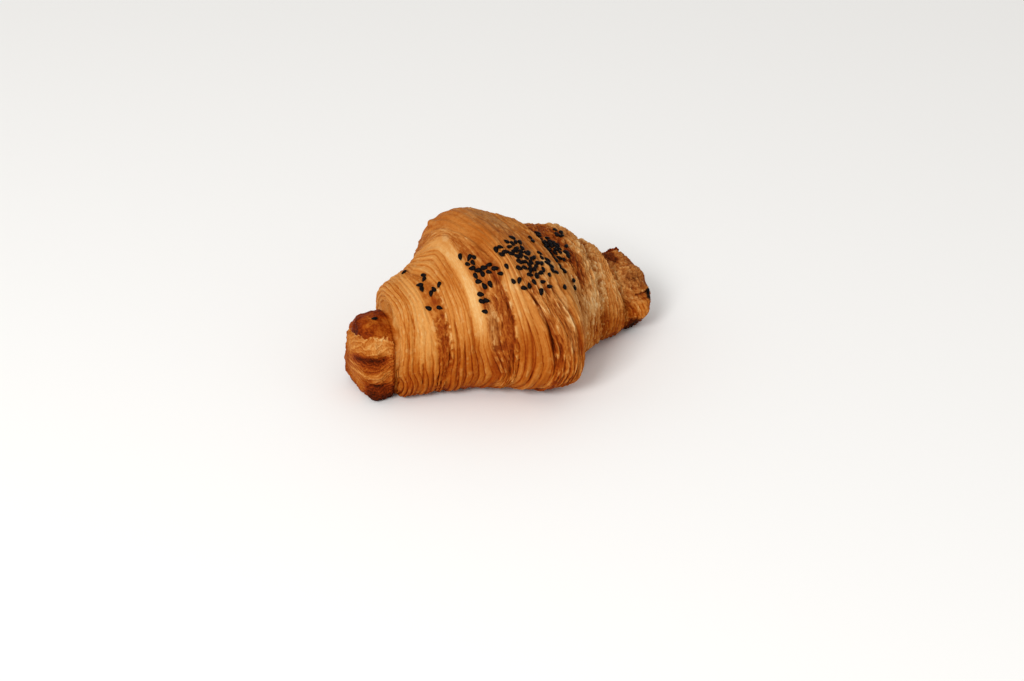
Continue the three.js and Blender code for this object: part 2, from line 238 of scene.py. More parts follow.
@dataclass(frozen=True)
class Roll:
    """The plain roll: wraps over a core, on a foot with six corners."""

    length: float = 150.0
    ring_radius: float = 30.0
    near_height: float = 35.3
    far_height: float = 30.0
    near_half_width: float = 15.7
    far_half_width: float = 19.5
    near_tip_rounding: float = 7.0
    far_tip_rounding: float = 11.5
    hump_height: float = 19.0
    hump: Swell = Swell(0.373, 0.155, 0.205)
    belly_front: float = 30.5
    belly_back: float = 6.0
    belly: Swell = Swell(0.502, 0.225, 0.16)
    upper_share: float = 0.54
    upper_squareness: float = 2.1
    lower_squareness: float = 3.2
    side_share: float = 0.55
    base_sink: float = 0.7
    underside_slope: float = 0.1
    middle_y: float = -11.944
    travel_angle: float = 50.0
    wraps: tuple[Wrap, ...] = (
        Wrap(0.115, 0.055, 0.868, 0.094, 10.8, 2.4, 0.9),
        Wrap(0.232, 0.104, 0.777, 0.078, 8.2, 1.1, 2.2),
        Wrap(0.354, 0.07, 0.61, 0.074, 2.8, 1.7, 1.0),
    )
    lean_stations: tuple[float, ...] = (0.0, 0.118, 0.237, 0.37, 0.52, 0.62, 0.78, 0.86, 1.0)
    leans: tuple[float, ...] = (0.0, -0.026, -0.008, 0.02, 0.01, -0.025, -0.03, -0.01, 0.0)
    foot: tuple[tuple[float, float], ...] = (
        (-66.0, -6.2),
        (-6.0, -22.7),
        (60.0, -8.7),
        (61.0, 4.0),
        (24.0, 9.8),
        (-66.0, 5.8),
    )

    def wrap_rise(self, station: Array) -> Array:
        """Height that all the wraps add."""
        return sum(wrap.rise(station) for wrap in self.wraps)

    def lean(self, station: Array) -> Array:
        """How far a ring leans along the axis between the top and the front, eased between named leans.

        Args:
            station: places along the axis.

        Returns:
            Leans as shares of the length.
        """
        stations = np.array(self.lean_stations)
        leans = np.array(self.leans)
        after = np.clip(np.searchsorted(stations, station), 1, len(stations) - 1)
        share = fraction((station - stations[after - 1]) / (stations[after] - stations[after - 1]))
        return mix(leans[after - 1], leans[after], share * share * (3.0 - 2.0 * share))

    def tip_rounding(self, station: Array) -> Array:
        """Share of the full section that is left near a tip: one minus a power, under a square root."""
        near = fraction(1.0 - station * self.length / self.near_tip_rounding)
        far = fraction(1.0 - (1.0 - station) * self.length / self.far_tip_rounding)
        return np.sqrt(1.0 - np.power(near, 2.4)) * np.sqrt(1.0 - np.square(far))

    def point(self, station: Array, angle: Array) -> Array:
        """Points of the plain roll: each section is a superellipse, flatter below, and each ring leans.

        Args:
            station: places along the axis.
            angle: angles round it, in radians.

        Returns:
            Points in millimetres, with a last axis of three.
        """
        station, angle = np.broadcast_arrays(station, angle)
        side = np.sin(angle)
        up = np.cos(angle)
        rise = self.wrap_rise(station)
        hump = self.hump_height * self.hump.at(station)
        height = mix(self.near_height, self.far_height, station) + hump + rise
        swell = np.where(side > 0.0, self.belly_front, self.belly_back) * self.belly.at(station)
        half_width = mix(self.near_half_width, self.far_half_width, station) + swell + self.side_share * rise
        power = np.where(up > 0.0, self.upper_squareness, self.lower_squareness)
        reach = height * np.where(up > 0.0, self.upper_share, 1.0 - self.upper_share)
        total = np.power(np.abs(side) / half_width, power) + np.power(np.abs(up) / reach, power)
        radius = np.power(total, -1.0 / power) * self.tip_rounding(station)
        x = self.length * (station + self.lean(station) * side - 0.5)
        z = (1.0 - self.upper_share) * height + radius * up
        return np.stack([x, -radius * side, z], axis=-1)

    def normal(self, station: Array, angle: Array) -> Array:
        """Outward normals of the plain roll: the cross product of two short steps over its surface.

        Args:
            station: places along the axis.
            angle: angles round it, in radians.

        Returns:
            Unit vectors, with a last axis of three.
        """
        inside = np.clip(station, 0.004, 0.996)
        along = self.point(inside + 0.004, angle) - self.point(inside - 0.004, angle)
        round_it = self.point(inside, angle + 0.05) - self.point(inside, angle - 0.05)
        normal = np.cross(round_it, along)
        return normal / np.linalg.norm(normal, axis=-1, keepdims=True)

    @cached_property
    def travel_table(self) -> tuple[Array, Array]:
        """Stations and the distance travelled over the surface up to each, along one line of the roll."""
        stations = np.linspace(0.0, 1.0, 4001)
        line = self.point(stations, np.full(stations.shape, math.radians(self.travel_angle)))
        steps = np.linalg.norm(np.diff(line, axis=0), axis=-1)
        return stations, np.concatenate([[0.0], np.cumsum(steps)])

    def travel(self, station: Array) -> Array:
        """Distance over the surface from the near tip, in millimetres."""
        stations, distances = self.travel_table
        return np.interp(station, stations, distances)

    def ring(self, angle: Array, share: float | Array = 1.0) -> tuple[Array, Array]:
        """Both coordinates of a circle round the roll, which has a share of its full radius."""
        radius = self.ring_radius * share
        return radius * np.cos(angle), radius * np.sin(angle)

    def underside(self, x: Array, y: Array) -> Array:
        """Lowest height that the crust may have: 0 on the foot, and a gentle slope up beyond its sides.

        Args:
            x: places along the axis, in millimetres.
            y: places across it.

        Returns:
            Heights in millimetres.
        """
        corners = np.array(self.foot)
        following = np.roll(corners, -1, axis=0)
        height = np.zeros(np.broadcast(x, y).shape)
        for (from_x, from_y), (to_x, to_y) in zip(corners, following):
            length = math.hypot(to_x - from_x, to_y - from_y)
            outward = ((to_y - from_y) * (x - from_x) - (to_x - from_x) * (y - from_y)) / length
            height = np.maximum(height, self.underside_slope * outward)
        return height


# The solid's relief


@dataclass(frozen=True)
class CutEdge:
    """A cut edge of the dough, where its layers show as ridges that step up toward the far tip or down."""

    start: float
    end: float
    ridges: int
    steps_up: bool

    def steps(self, station: Array, depth: float) -> Array:
        """The solid's broad ridges: each rises fast to its rim and falls off slowly behind it.

        Args:
            station: places along the axis.
            depth: height of a ridge.

        Returns:
            Height over the plain roll.
        """
        share = (station - self.start) / (self.end - self.start)
        step = np.mod((share if self.steps_up else 1.0 - share) * self.ridges, 1.0)
        profile = smooth(0.0, 0.35, step) * (1.0 - 0.75 * smooth(0.4, 1.0, step)) - 0.5
        inside = (share > 0.0) & (share < 1.0)
        return np.where(inside, depth * profile * np.minimum(1.0, 8.0 * share * (1.0 - share)), 0.0)


@dataclass(frozen=True)
class Groove:
    """A groove round the roll, where one wrap lies against the next."""

    station: float
    depth: float
    half_width: float

    def at(self, station: Array) -> Array:
        """Depth of the groove: a bell curve across it."""
        return self.depth * hill((station - self.station) / self.half_width)


@dataclass(frozen=True)
class Lump:
    """A round patch of the crust about a place on the plain roll, and how far it stands up."""

    station: float
    angle: float
    radius: float
    rise: float = 1.0

    def at(self, roll: Roll, point: Array) -> Array:
        """The rise times a bell curve over the distance of points from the middle, in radii."""
        middle = roll.point(np.array(self.station), np.array(math.radians(self.angle)))
        return self.rise * hill(np.linalg.norm(point - middle, axis=-1) / self.radius)


@dataclass(frozen=True)
class Fold:
    """A fold of the near tip on its chart: a hill or a hollow about a line that may slope."""

    across: float
    height: float
    half_width: float
    half_height: float
    slope: float
    rise: float

    def offset(self, across: Array, height: Array) -> Array:
        """Height above the fold's own line."""
        return height - self.height - self.slope * (across - self.across)

    def at(self, across: Array, height: Array) -> Array:
        """Share of the fold: a bell curve along its line times one across it."""
        along = hill((across - self.across) / self.half_width)
        return along * hill(self.offset(across, height) / self.half_height)


@dataclass(frozen=True)
class TipChart:
    """The near tip's flat chart, which faces its front left: across runs to the right and height up."""

    reach: float = 0.1
    turn: float = 30.0
    front_from: float = 26.0
    front_to: float = 36.0
    patch_across: float = -56.0
    patch_height: float = 31.8
    patch_sag: float = 0.03
    patch_rise: float = 0.9
    patch_softness: float = 0.8
    folds: tuple[Fold, ...] = (
        Fold(-56.5, 22.4, 8.5, 3.4, 0.2, -2.2),
        Fold(-58.0, 17.6, 8.0, 2.0, 0.22, -0.7),
        Fold(-61.0, 14.0, 7.0, 1.4, 0.25, 1.0),
        Fold(-52.0, 9.5, 7.0, 2.0, 0.1, -0.9),
    )

    def across(self, point: Array) -> Array:
        """Distance to the right on the chart."""
        turn = math.radians(self.turn)
        return point[..., 0] * math.cos(turn) - point[..., 1] * math.sin(turn)

    def front(self, point: Array) -> Array:
        """1 where the crust lies toward the chart and 0 behind it.

        Args:
            point: points of the plain roll.

        Returns:
            Shares from 0 to 1.
        """
        turn = math.radians(self.turn)
        toward = -point[..., 0] * math.sin(turn) - point[..., 1] * math.cos(turn)
        return smooth(self.front_from, self.front_to, toward)

    def share(self, station: Array) -> Array:
        """1 over the blunt end of the tip and 0 past its reach."""
        return 1.0 - smooth(0.6 * self.reach, self.reach, station)

    def above_patch(self, point: Array) -> Array:
        """Height above the rim of the crust patch on top, which sags to both sides."""
        sag = self.patch_sag * np.square(self.across(point) - self.patch_across)
        return point[..., 2] - self.patch_height + sag

    def relief(self, station: Array, point: Array) -> Array:
        """The solid's folds: the raised patch on top and the folds below it.

        Args:
            station: places along the axis.
            point: points of the plain roll.

        Returns:
            Height over the plain roll.
        """
        across = self.across(point)
        patch = self.patch_rise * smooth(-self.patch_softness, self.patch_softness, self.above_patch(point))
        folds = sum(fold.rise * fold.at(across, point[..., 2]) for fold in self.folds)
        return self.share(station) * (patch + folds * self.front(point))


@dataclass(frozen=True)
class Relief:
    """The solid's relief over the plain roll."""

    roll: Roll = Roll()
    tip: TipChart = TipChart()
    ridge_depth: float = 0.7
    unevenness: float = 0.5
    pleats_from: float = 0.88
    pleat_count: int = 7
    pleat_depth: float = 0.8
    edges: tuple[CutEdge, ...] = (
        CutEdge(0.12, 0.192, 5, True),
        CutEdge(0.236, 0.306, 5, True),
        CutEdge(0.357, 0.402, 3, True),
        CutEdge(0.53, 0.604, 4, False),
        CutEdge(0.704, 0.772, 4, False),
        CutEdge(0.806, 0.862, 4, False),
    )
    grooves: tuple[Groove, ...] = (
        Groove(0.112, 1.3, 0.007),
        Groove(0.23, 0.9, 0.006),
        Groove(0.353, 0.8, 0.006),
        Groove(0.408, 0.8, 0.005),
        Groove(0.506, 0.7, 0.006),
        Groove(0.614, 1.3, 0.008),
        Groove(0.782, 1.1, 0.007),
        Groove(0.872, 1.4, 0.008),
    )
    lumps: tuple[Lump, ...] = (
        Lump(0.93, 98.0, 4.5, 3.4),
        Lump(0.34, -29.0, 2.2, 1.6),
        Lump(0.5, -25.0, 13.0, 0.7),
        Lump(0.665, -25.0, 13.0, 1.4),
        Lump(0.915, -28.0, 9.0, 0.8),
    )

    def at(self, station: Array, angle: Array, point: Array, layer: Array, ridge_share: float = 1.0) -> Array:
        """Height over the plain roll: ridges, grooves, tip folds, far pleats, slow waves and lumps, added up.

        Args:
            station: places along the axis.
            angle: angles round it, in radians.
            point: points of the plain roll there.
            layer: stations that ridges and grooves go by.
            ridge_share: how much of the broad ridges is kept, where finer layers take their place.

        Returns:
            Heights in millimetres, faded out at both tips.
        """
        relief = self.tip.relief(station, point)
        for edge in self.edges:
            relief = relief + edge.steps(layer, self.ridge_depth * ridge_share)
        for groove in self.grooves:
            relief = relief - groove.at(layer)
        pleats = smooth(self.pleats_from, self.pleats_from + 0.06, station)
        relief = relief + pleats * self.pleat_depth * np.cos(self.pleat_count * angle + 9.0 * station)
        waves = np.sin(19.0 * station + 2.0 * angle) + np.sin(31.0 * station - 3.0 * angle + 1.0)
        relief = relief + self.unevenness * waves / 2.0
        for lump in self.lumps:
            relief = relief + lump.at(self.roll, point)
        return relief * smooth(0.0, 0.02, station) * smooth(0.0, 0.02, 1.0 - station)

    def solid_point(self, station: Array, angle: Array) -> Array:
        """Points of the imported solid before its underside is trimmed, in millimetres on the roll's axis."""
        point = self.roll.point(station, angle)
        height = self.at(station, angle, point, station)
        return point + height[..., None] * self.roll.normal(station, angle) - [0.0, 0.0, self.roll.base_sink]


# How the crust is baked, with shade, highlights and sheen painted into its colour


@dataclass(frozen=True)
class Border:
    """Where one wrap or band meets the next: its layer station, and its true station at named angles."""

    layer: float
    angles: tuple[float, ...]
    stations: tuple[float, ...]

    def at(self, turn: Array) -> Array:
        """True station at each angle in degrees, straight between the named ones."""
        return np.interp(turn, self.angles, self.stations)


@dataclass(frozen=True)
class Band:
    """A stretch up to a layer station, with its browning on top, at the side and low down, where it is partly
    painted shade, the strength of its layers and wrinkles, its greyish pink tint, which is partly painted
    sheen, and its egg wash."""

    end: float
    top: float
    side: float
    low: float
    layers: float = 0.0
    wrinkles: float = 0.0
    blush_and_sheen: float = 0.0
    wash: float = 0.1


@dataclass(frozen=True)
class Stain:
    """A browner or paler spot with a ragged rim: its middle, its reach along and round the roll in
    millimetres, how much browner it is, and how much more of the greyish pink tint it has, which is partly
    painted sheen."""

    station: float
    angle: float
    along: float
    round_it: float
    browning: float
    blush_and_sheen: float = 0.0


@dataclass(frozen=True)
class Crease:
    """A thin line in the crust from one place to another: a crack, or a lip where its depth is negative."""

    from_station: float
    from_angle: float
    to_station: float
    to_angle: float
    bow: float
    half_width: float
    depth: float
    browning: float
    fringe: float = 0.0


@dataclass
class Place:
    """Where points of the crust are: layer station, true station, angle, distance travelled along the roll
    by layer station, the two coordinates of a circle round it that noise is read on, and the plain point."""

    layer: Array
    station: Array
    angle: Array
    along: Array
    ring_a: Array
    ring_b: Array
    point: Array

    @cached_property
    def turn(self) -> Array:
        """Angle in degrees from -180 to 180."""
        return turn_of(self.angle)


@dataclass(frozen=True)
class Texture:
    """Layered noise whose coarsest cells have a size of their own on each axis, in millimetres."""

    grain: Grain
    cells: tuple[float, float, float]
    octaves: int

    def at(self, x: Array, y: Array, z: Array) -> Array:
        """Noise at points in millimetres, from about -1 to 1."""
        return self.grain.layered(x / self.cells[0], y / self.cells[1], z / self.cells[2], self.octaves)

    def over(self, place: Place) -> Array:
        """Noise over the crust, read on the distance along the roll and the circle round it."""
        return self.at(place.along, place.ring_a, place.ring_b)

    def within(self, point: Array) -> Array:
        """Noise in space, read at points of the plain roll."""
        return self.at(point[..., 0], point[..., 1], point[..., 2])


@dataclass
class Bake:
    """What is baked into the crust: height to add, browning, which also carries painted shade and highlights,
    egg wash, scorch, and a greyish pink tint that is partly painted sheen.
    """

    height: Array
    browning: Array
    wash: Array
    scorch: Array
    blush_and_sheen: Array

    def add(self, other: "Bake", share: Array) -> "Bake":
        """Both bakes added up, the other one by a share."""
        pairs = zip(vars(self).values(), vars(other).values())
        return Bake(*(mine + share * theirs for mine, theirs in pairs))


@dataclass
class Surface:
    """Points of the finished crust, the plain roll's normals and what is baked into it."""

    points: Array
    normals: Array
    bake: Bake


@dataclass(frozen=True)
class Wander:
    """How far layers stray along the roll: strength of a noise, and its cells along and round the roll."""

    strength: float
    along: float
    round_it: float
    grain: Grain = Grain(11)

    def at(self, along: Array, ring_a: Array, ring_b: Array, ahead: float = 0.0, aside: float = 0.0) -> Array:
        """The noise, read some cells ahead or aside, times its strength."""
        ring_a = ring_a / self.round_it + aside
        return self.strength * self.grain.at(along / self.along + ahead, ring_a, ring_b / self.round_it)


@dataclass(frozen=True)
class Layering:
    """Layers seen on edge: their pitch, the shift of their random draws and how they wander. Each layer draws
    its tone, strength and tears some cells on from the last one's, in cells of some size round the roll."""

    pitch: float
    shift: float
    reach: float = 1.75
    slow: Wander = Wander(0.7, 9.0, 17.0)
    fast: Wander = Wander(0.16, 3.0, 8.0)
    tones: tuple[float, float] = (3.7, 13.0)
    strengths: tuple[float, float] = (5.1, 9.0)
    tears: tuple[float, float] = (5.3, 1.9)
    tear: float = 0.1
    turns_at: float = 0.505
    layer_grain: Grain = Grain(12)
    ragged_grain: Grain = Grain(13)

    def at(self, place: Place) -> tuple[Array, Array, Array]:
        """Each layer rises fast to a ragged rim and falls off behind it, has a tone of its own and comes and
        goes along its length. Past the turn they face the other way.

        Args:
            place: where they are read.

        Returns:
            Height of the rims from 0 to 1, depth of the gaps from 0 to 1, and tones from -1 to 1.
        """
        travel, a, b = place.along, place.ring_a, place.ring_b
        wander = self.slow.at(travel, a, b, ahead=self.shift) + self.fast.at(travel, a, b, aside=self.shift)
        facing = np.where(place.layer > self.turns_at, -1.0, 1.0)
        phase = facing * (travel / self.pitch + wander * self.reach / max(self.pitch, 1.0))
        whole = np.floor(phase)
        part = phase - whole
        draw, cell = self.tones
        tone = self.layer_grain.at(whole * draw + self.shift, a / cell, b / cell)
        draw, cell = self.strengths
        strength = smooth(-0.8, 0.1, self.layer_grain.at(whole * draw, a / cell + self.shift, b / cell))
        draw, cell = self.tears
        torn = self.ragged_grain.layered(whole * draw, a / cell, b / cell, 2)
        part = fraction(part + 4.0 * self.tear * torn * part * (1.0 - part))
        falling = 0.75 * smooth(0.45, 0.9, part) + 0.25 * smooth(0.9, 1.0, part)
        rim = smooth(0.02, 0.24, part) * (1.0 - falling)
        gap = 1.0 - smooth(0.0, 0.16, part) * (1.0 - smooth(0.84, 1.0, part))
        return rim * strength, gap * strength, tone


@dataclass(frozen=True)
class CrownCap:
    """The smooth brown cap of the crown, where the skin covers the cut edges: where it starts and how far
    that start slants, and where it fades along the roll, toward the front and toward the back."""

    start: float = 0.322
    slant: float = 0.03
    fade_along: tuple[float, float] = (0.405, 0.43)
    fade_front: tuple[float, float] = (22.0, 42.0)
    fade_back: tuple[float, float] = (-110.0, -70.0)

    def at(self, place: Place) -> Array:
        """1 on the cap and 0 off it."""
        start = self.start + self.slant * smooth(0.0, 40.0, place.turn)
        along = smooth(0.0, 0.01, place.station - start) * (1.0 - smooth(*self.fade_along, place.station))
        return along * (1.0 - smooth(*self.fade_front, place.turn)) * smooth(*self.fade_back, place.turn)


@dataclass(frozen=True)
class Skin:
    """Bake of the roll between its tips: bands of layered cut edges and wrinkled skin, stains and creases.
    Heights and depths are in millimetres; browning and paleness are shares of the way through the shades."""

    # Browning paints shade into gaps, cracks and the low side, and paleness paints highlights on rims, crests
    # and flecks.
    roll: Roll = Roll()
    cap: CrownCap = CrownCap()
    coarse: Layering = Layering(2.3, 0.0)
    fine: Layering = Layering(1.1, 21.0)
    sheets: Texture = Texture(Grain(18), (3.4, 20.0, 20.0), 4)
    scales: Texture = Texture(Grain(19), (2.6, 4.2, 4.2), 4)
    ridges: Texture = Texture(Grain(15), (2.1, 4.6, 4.6), 3)
    cracks: Texture = Texture(Grain(16), (1.9, 4.0, 4.0), 2)
    blisters: Texture = Texture(Grain(16), (7.0, 8.0, 8.0), 2)
    flecks: Texture = Texture(Grain(15), (1.0, 2.2, 2.2), 2)
    patches: Texture = Texture(Grain(17), (15.0, 15.0, 15.0), 3)
    stain_rims: Texture = Texture(Grain(13), (2.5, 6.0, 6.0), 3)
    wobbles: Texture = Texture(Grain(14), (6.0, 7.0, 7.0), 2)
    crumbs: Texture = Texture(Grain(13), (1.5, 1.7, 1.7), 2)
    band_softness: float = 0.004
    sheet_count: float = 3.0
    sheet_riser: float = 0.22
    scale_count: float = 3.6
    scale_riser: float = 0.25
    layer_height: float = 0.7
    fine_height: float = 0.14
    layer_middle: float = 0.4
    sheet_height: float = 0.26
    scale_height: float = 0.27
    ridge_height: float = 0.5
    ridge_middle: float = 0.35
    crack_depth: float = 0.35
    blister_height: float = 0.25
    fleck_height: float = 0.15
    cap_browning: float = 0.44
    # Darkening of the layer gaps is painted shade, partly browning; paleness of the layer rims is a painted
    # highlight.
    gap_shade_and_browning: float = 0.17
    fine_gap_shade_and_browning: float = 0.05
    rim_highlight: float = 0.06
    tone_contrast: float = 0.06
    # Painted highlight on the rims of torn sheets, and painted shadow at their feet.
    sheet_rim_highlight: float = 0.045
    scale_paleness: float = 0.03
    # Painted highlights on scale rims and ridge crests, and painted shade in the cracks.
    scale_rim_highlight: float = 0.1
    ridge_highlight: float = 0.22
    crack_shade: float = 0.14
    # Flecks are painted glints of the egg wash.
    fleck_highlight: float = 0.17
    patch_contrast: float = 0.1
    bands: tuple[Band, ...] = (
        Band(0.108, 0.50, 0.44, 0.62, 0.1, 0.3, 0.15, 0.3),
        Band(0.155, 0.30, 0.35, 0.58, 1.0, 0.1, 0.0),
        Band(0.195, 0.27, 0.24, 0.54, 0.45, 0.15, 0.0),
        Band(0.232, 0.44, 0.47, 0.66, 0.15, 0.9, 0.15, 0.5),
        Band(0.284, 0.33, 0.36, 0.60, 0.9, 0.1, 0.05),
        Band(0.303, 0.24, 0.20, 0.52, 0.25, 0.1, 0.15),
        Band(0.352, 0.36, 0.56, 0.52, 0.15, 1.0, 0.3, 0.5),
        Band(0.402, 0.46, 0.33, 0.48, 0.9, 0.1, 0.15),
        Band(0.505, 0.44, 0.49, 0.61, 0.15, 1.15, 0.45, 0.4),
        Band(0.608, 0.47, 0.39, 0.55, 0.7, 0.6, 0.2),
        Band(0.700, 0.66, 0.39, 0.53, 0.15, 1.15, 0.3, 0.5),
        Band(0.806, 0.42, 0.25, 0.52, 0.35, 1.1, 0.45, 0.3),
        Band(0.871, 0.36, 0.30, 0.56, 0.6, 0.6, 0.3, 0.2),
        Band(1.100, 0.51, 0.48, 0.58, 0.1, 0.8, 0.3, 0.4),
    )
    stains: tuple[Stain, ...] = (
        Stain(0.172, 40.0, 3.2, 26.0, -0.10),
        Stain(0.220, 66.0, 2.6, 15.0, 0.10),
        Stain(0.222, 32.0, 2.0, 6.0, 0.12),
        Stain(0.293, 30.0, 2.4, 28.0, -0.10),
        Stain(0.312, 0.0, 2.0, 2.6, -0.06, 0.5),
        Stain(0.320, 18.0, 2.4, 9.0, 0.16),
        Stain(0.314, 76.0, 2.6, 9.0, -0.04, 0.45),
        Stain(0.343, 66.0, 2.0, 11.0, 0.13),
        Stain(0.325, 97.0, 5.0, 6.5, 0.12, 0.1),
        Stain(0.392, 4.0, 7.0, 12.0, 0.03),
        Stain(0.368, 70.0, 2.6, 9.0, -0.08),
        Stain(0.450, 4.0, 9.0, 9.0, 0.0, 0.35),
        Stain(0.500, 78.0, 3.0, 9.0, -0.04, 0.3),
        Stain(0.693, 42.0, 5.2, 10.0, 0.34),
        Stain(0.655, 78.0, 7.0, 10.0, -0.08, 0.3),
        Stain(0.725, 84.0, 6.0, 9.0, -0.09, 0.15),
        Stain(0.715, 58.0, 3.0, 4.0, 0.12),
        Stain(0.810, 34.0, 4.0, 10.0, -0.05, 0.1),
        Stain(0.850, 60.0, 2.5, 14.0, -0.10),
        Stain(0.800, 93.0, 3.5, 4.0, 0.12),
        Stain(0.884, 40.0, 2.0, 14.0, -0.12),
        Stain(0.903, -10.0, 3.4, 9.0, 0.36),
        Stain(0.920, 45.0, 5.0, 7.0, 0.08, 0.3),
        Stain(0.905, 74.0, 2.0, 4.0, -0.1),
    )
    # A crack's browning paints the shade in it; a lip's negative browning makes it paler.
    creases: tuple[Crease, ...] = (
        Crease(0.143, -5.0, 0.155, 62.0, 0.5, 0.40, 0.30, 0.16),
        Crease(0.128, 8.0, 0.139, 78.0, -0.4, 0.35, 0.25, 0.12),
        Crease(0.133, 62.0, 0.131, 118.0, 0.3, 0.35, 0.25, 0.12),
        Crease(0.165, 88.0, 0.161, 116.0, 0.0, 0.45, 0.40, 0.24),
        Crease(0.238, 20.0, 0.233, 104.0, -0.6, 0.75, -0.50, -0.16, 0.9),
        Crease(0.246, 58.0, 0.243, 118.0, 0.2, 0.40, 0.25, 0.18),
        Crease(0.257, 52.0, 0.258, 86.0, 0.2, 0.40, -0.10, -0.10, 0.4),
        Crease(0.274, 8.0, 0.277, 94.0, 0.3, 0.35, 0.25, 0.12),
        Crease(0.263, 60.0, 0.258, 118.0, 0.0, 0.35, 0.25, 0.13),
        Crease(0.319, -14.0, 0.357, 43.0, -1.5, 0.50, -0.35, -0.14, 0.2),
        Crease(0.325, 2.0, 0.349, 34.0, -1.2, 0.60, 0.30, 0.14),
        Crease(0.334, 10.0, 0.340, 52.0, -0.6, 0.40, 0.20, 0.14),
        Crease(0.351, 50.0, 0.355, 118.0, 0.0, 0.90, -0.65, -0.18, 1.0),
        Crease(0.344, 58.0, 0.348, 104.0, 0.5, 0.60, 0.40, 0.18, 0.3),
        Crease(0.387, 57.0, 0.445, 108.0, 1.6, 0.45, 0.60, 0.30),
        Crease(0.367, 60.0, 0.372, 116.0, 0.4, 0.35, 0.25, 0.14),
        Crease(0.377, 74.0, 0.386, 118.0, 0.4, 0.35, 0.30, 0.16),
        Crease(0.405, 2.0, 0.431, 26.0, 0.6, 0.60, 0.45, 0.14),
        Crease(0.425, -6.0, 0.470, 34.0, 0.8, 0.45, 0.30, 0.14),
        Crease(0.450, -8.0, 0.500, 36.0, 0.8, 0.45, -0.20, -0.10, 0.3),
        Crease(0.437, 58.0, 0.505, 96.0, 1.0, 0.50, 0.30, 0.14, 0.4),
        Crease(0.470, 62.0, 0.528, 100.0, 0.8, 0.50, -0.25, -0.12, 0.5),
        Crease(0.500, 64.0, 0.545, 102.0, 0.8, 0.50, 0.35, 0.14),
        Crease(0.640, 66.0, 0.712, 98.0, 1.0, 0.50, 0.30, 0.14, 0.3),
        Crease(0.660, 64.0, 0.735, 96.0, 1.0, 0.50, -0.25, -0.12, 0.5),
        Crease(0.735, 26.0, 0.772, 46.0, 0.5, 0.45, 0.25, 0.14, 0.3),
        Crease(0.812, 42.0, 0.808, 94.0, 0.3, 0.45, 0.35, 0.18),
        Crease(0.823, 50.0, 0.826, 84.0, -0.3, 0.40, 0.25, 0.14),
        Crease(0.838, 62.0, 0.842, 100.0, 0.2, 0.40, 0.20, 0.10),
        Crease(0.899, 64.0, 0.972, 67.0, 0.6, 0.90, -0.55, -0.06, 0.1),
        Crease(0.905, 71.0, 0.968, 71.0, 0.4, 0.65, 0.60, 0.30),
        Crease(0.905, 78.0, 0.950, 78.0, 0.3, 0.60, 0.40, 0.26),
        Crease(0.900, 50.0, 0.962, 48.0, 0.5, 0.55, 0.35, 0.14, 0.2),
        Crease(0.895, 36.0, 0.955, 30.0, 0.6, 0.50, 0.30, 0.12, 0.2),
    )

    def band_values(self, layer: Array) -> dict[str, Array]:
        """Each band value at each layer station, blended where one band meets the next.

        Args:
            layer: layer stations.

        Returns:
            Values by the names that a band gives them.
        """
        names = ("top", "side", "low", "layers", "wrinkles", "blush_and_sheen", "wash")
        first = self.bands[0]
        values = {name: np.full(layer.shape, getattr(first, name)) for name in names}
        for before, band in zip(self.bands, self.bands[1:]):
            share = smooth(before.end - self.band_softness, before.end + self.band_softness, layer)
            for name in names:
                values[name] = mix(values[name], getattr(band, name), share)
        return values

    def stained(self, place: Place) -> tuple[Array, Array]:
        """Browning and blush of the stains: each is even inside and fades over its ragged rim.

        Args:
            place: where it is read.

        Returns:
            Browning and blush.
        """
        browning = np.zeros(place.station.shape)
        blush_and_sheen = np.zeros(place.station.shape)
        ragged = 0.3 * self.stain_rims.over(place)
        travel = self.roll.travel(place.station)
        for stain in self.stains:
            along = (travel - self.roll.travel(np.array(stain.station))) / stain.along
            turn = np.radians(turn_of(place.angle - math.radians(stain.angle)))
            distance = np.hypot(along, turn * self.roll.ring_radius / stain.round_it) + ragged
            share = 1.0 - smooth(0.45, 1.35, distance)
            browning = browning + stain.browning * share
            blush_and_sheen = blush_and_sheen + stain.blush_and_sheen * share
        return browning, blush_and_sheen

    def creased(self, place: Place) -> tuple[Array, Array]:
        """Height and browning of the creases, whose darkening paints shade in the cracks: a bell curve over
        the distance from each bowed line.

        Args:
            place: where it is read.

        Returns:
            Height in millimetres, and browning.
        """
        height = np.zeros(place.station.shape)
        browning = np.zeros(place.station.shape)
        travel = self.roll.travel(place.station)
        radius = self.roll.ring_radius
        wobble = 0.45 * self.wobbles.over(place)
        crumbs = smooth(-0.12, 0.22, self.crumbs.over(place))
        for crease in self.creases:
            from_along = self.roll.travel(np.array(crease.from_station))
            from_round = math.radians(crease.from_angle) * radius
            run_along = self.roll.travel(np.array(crease.to_station)) - from_along
            run_round = math.radians(crease.to_angle) * radius - from_round
            run = math.hypot(run_along, run_round)
            along = travel - from_along
            across = np.radians(place.turn) * radius - from_round
            share = (along * run_along + across * run_round) / run**2
            aside = (along * run_round - across * run_along) / run
            aside = aside - crease.bow * 4.0 * share * (1.0 - share) + wobble
            ends = smooth(-0.02, 0.14, share) * (1.0 - smooth(0.86, 1.02, share))
            line = hill(aside / crease.half_width) * ends * (1.0 + crease.fringe * (2.0 * crumbs - 1.0))
            height = height - crease.depth * line
            # Dark lines along cracks: painted shade.
            browning = browning + crease.browning * line
        return height, browning

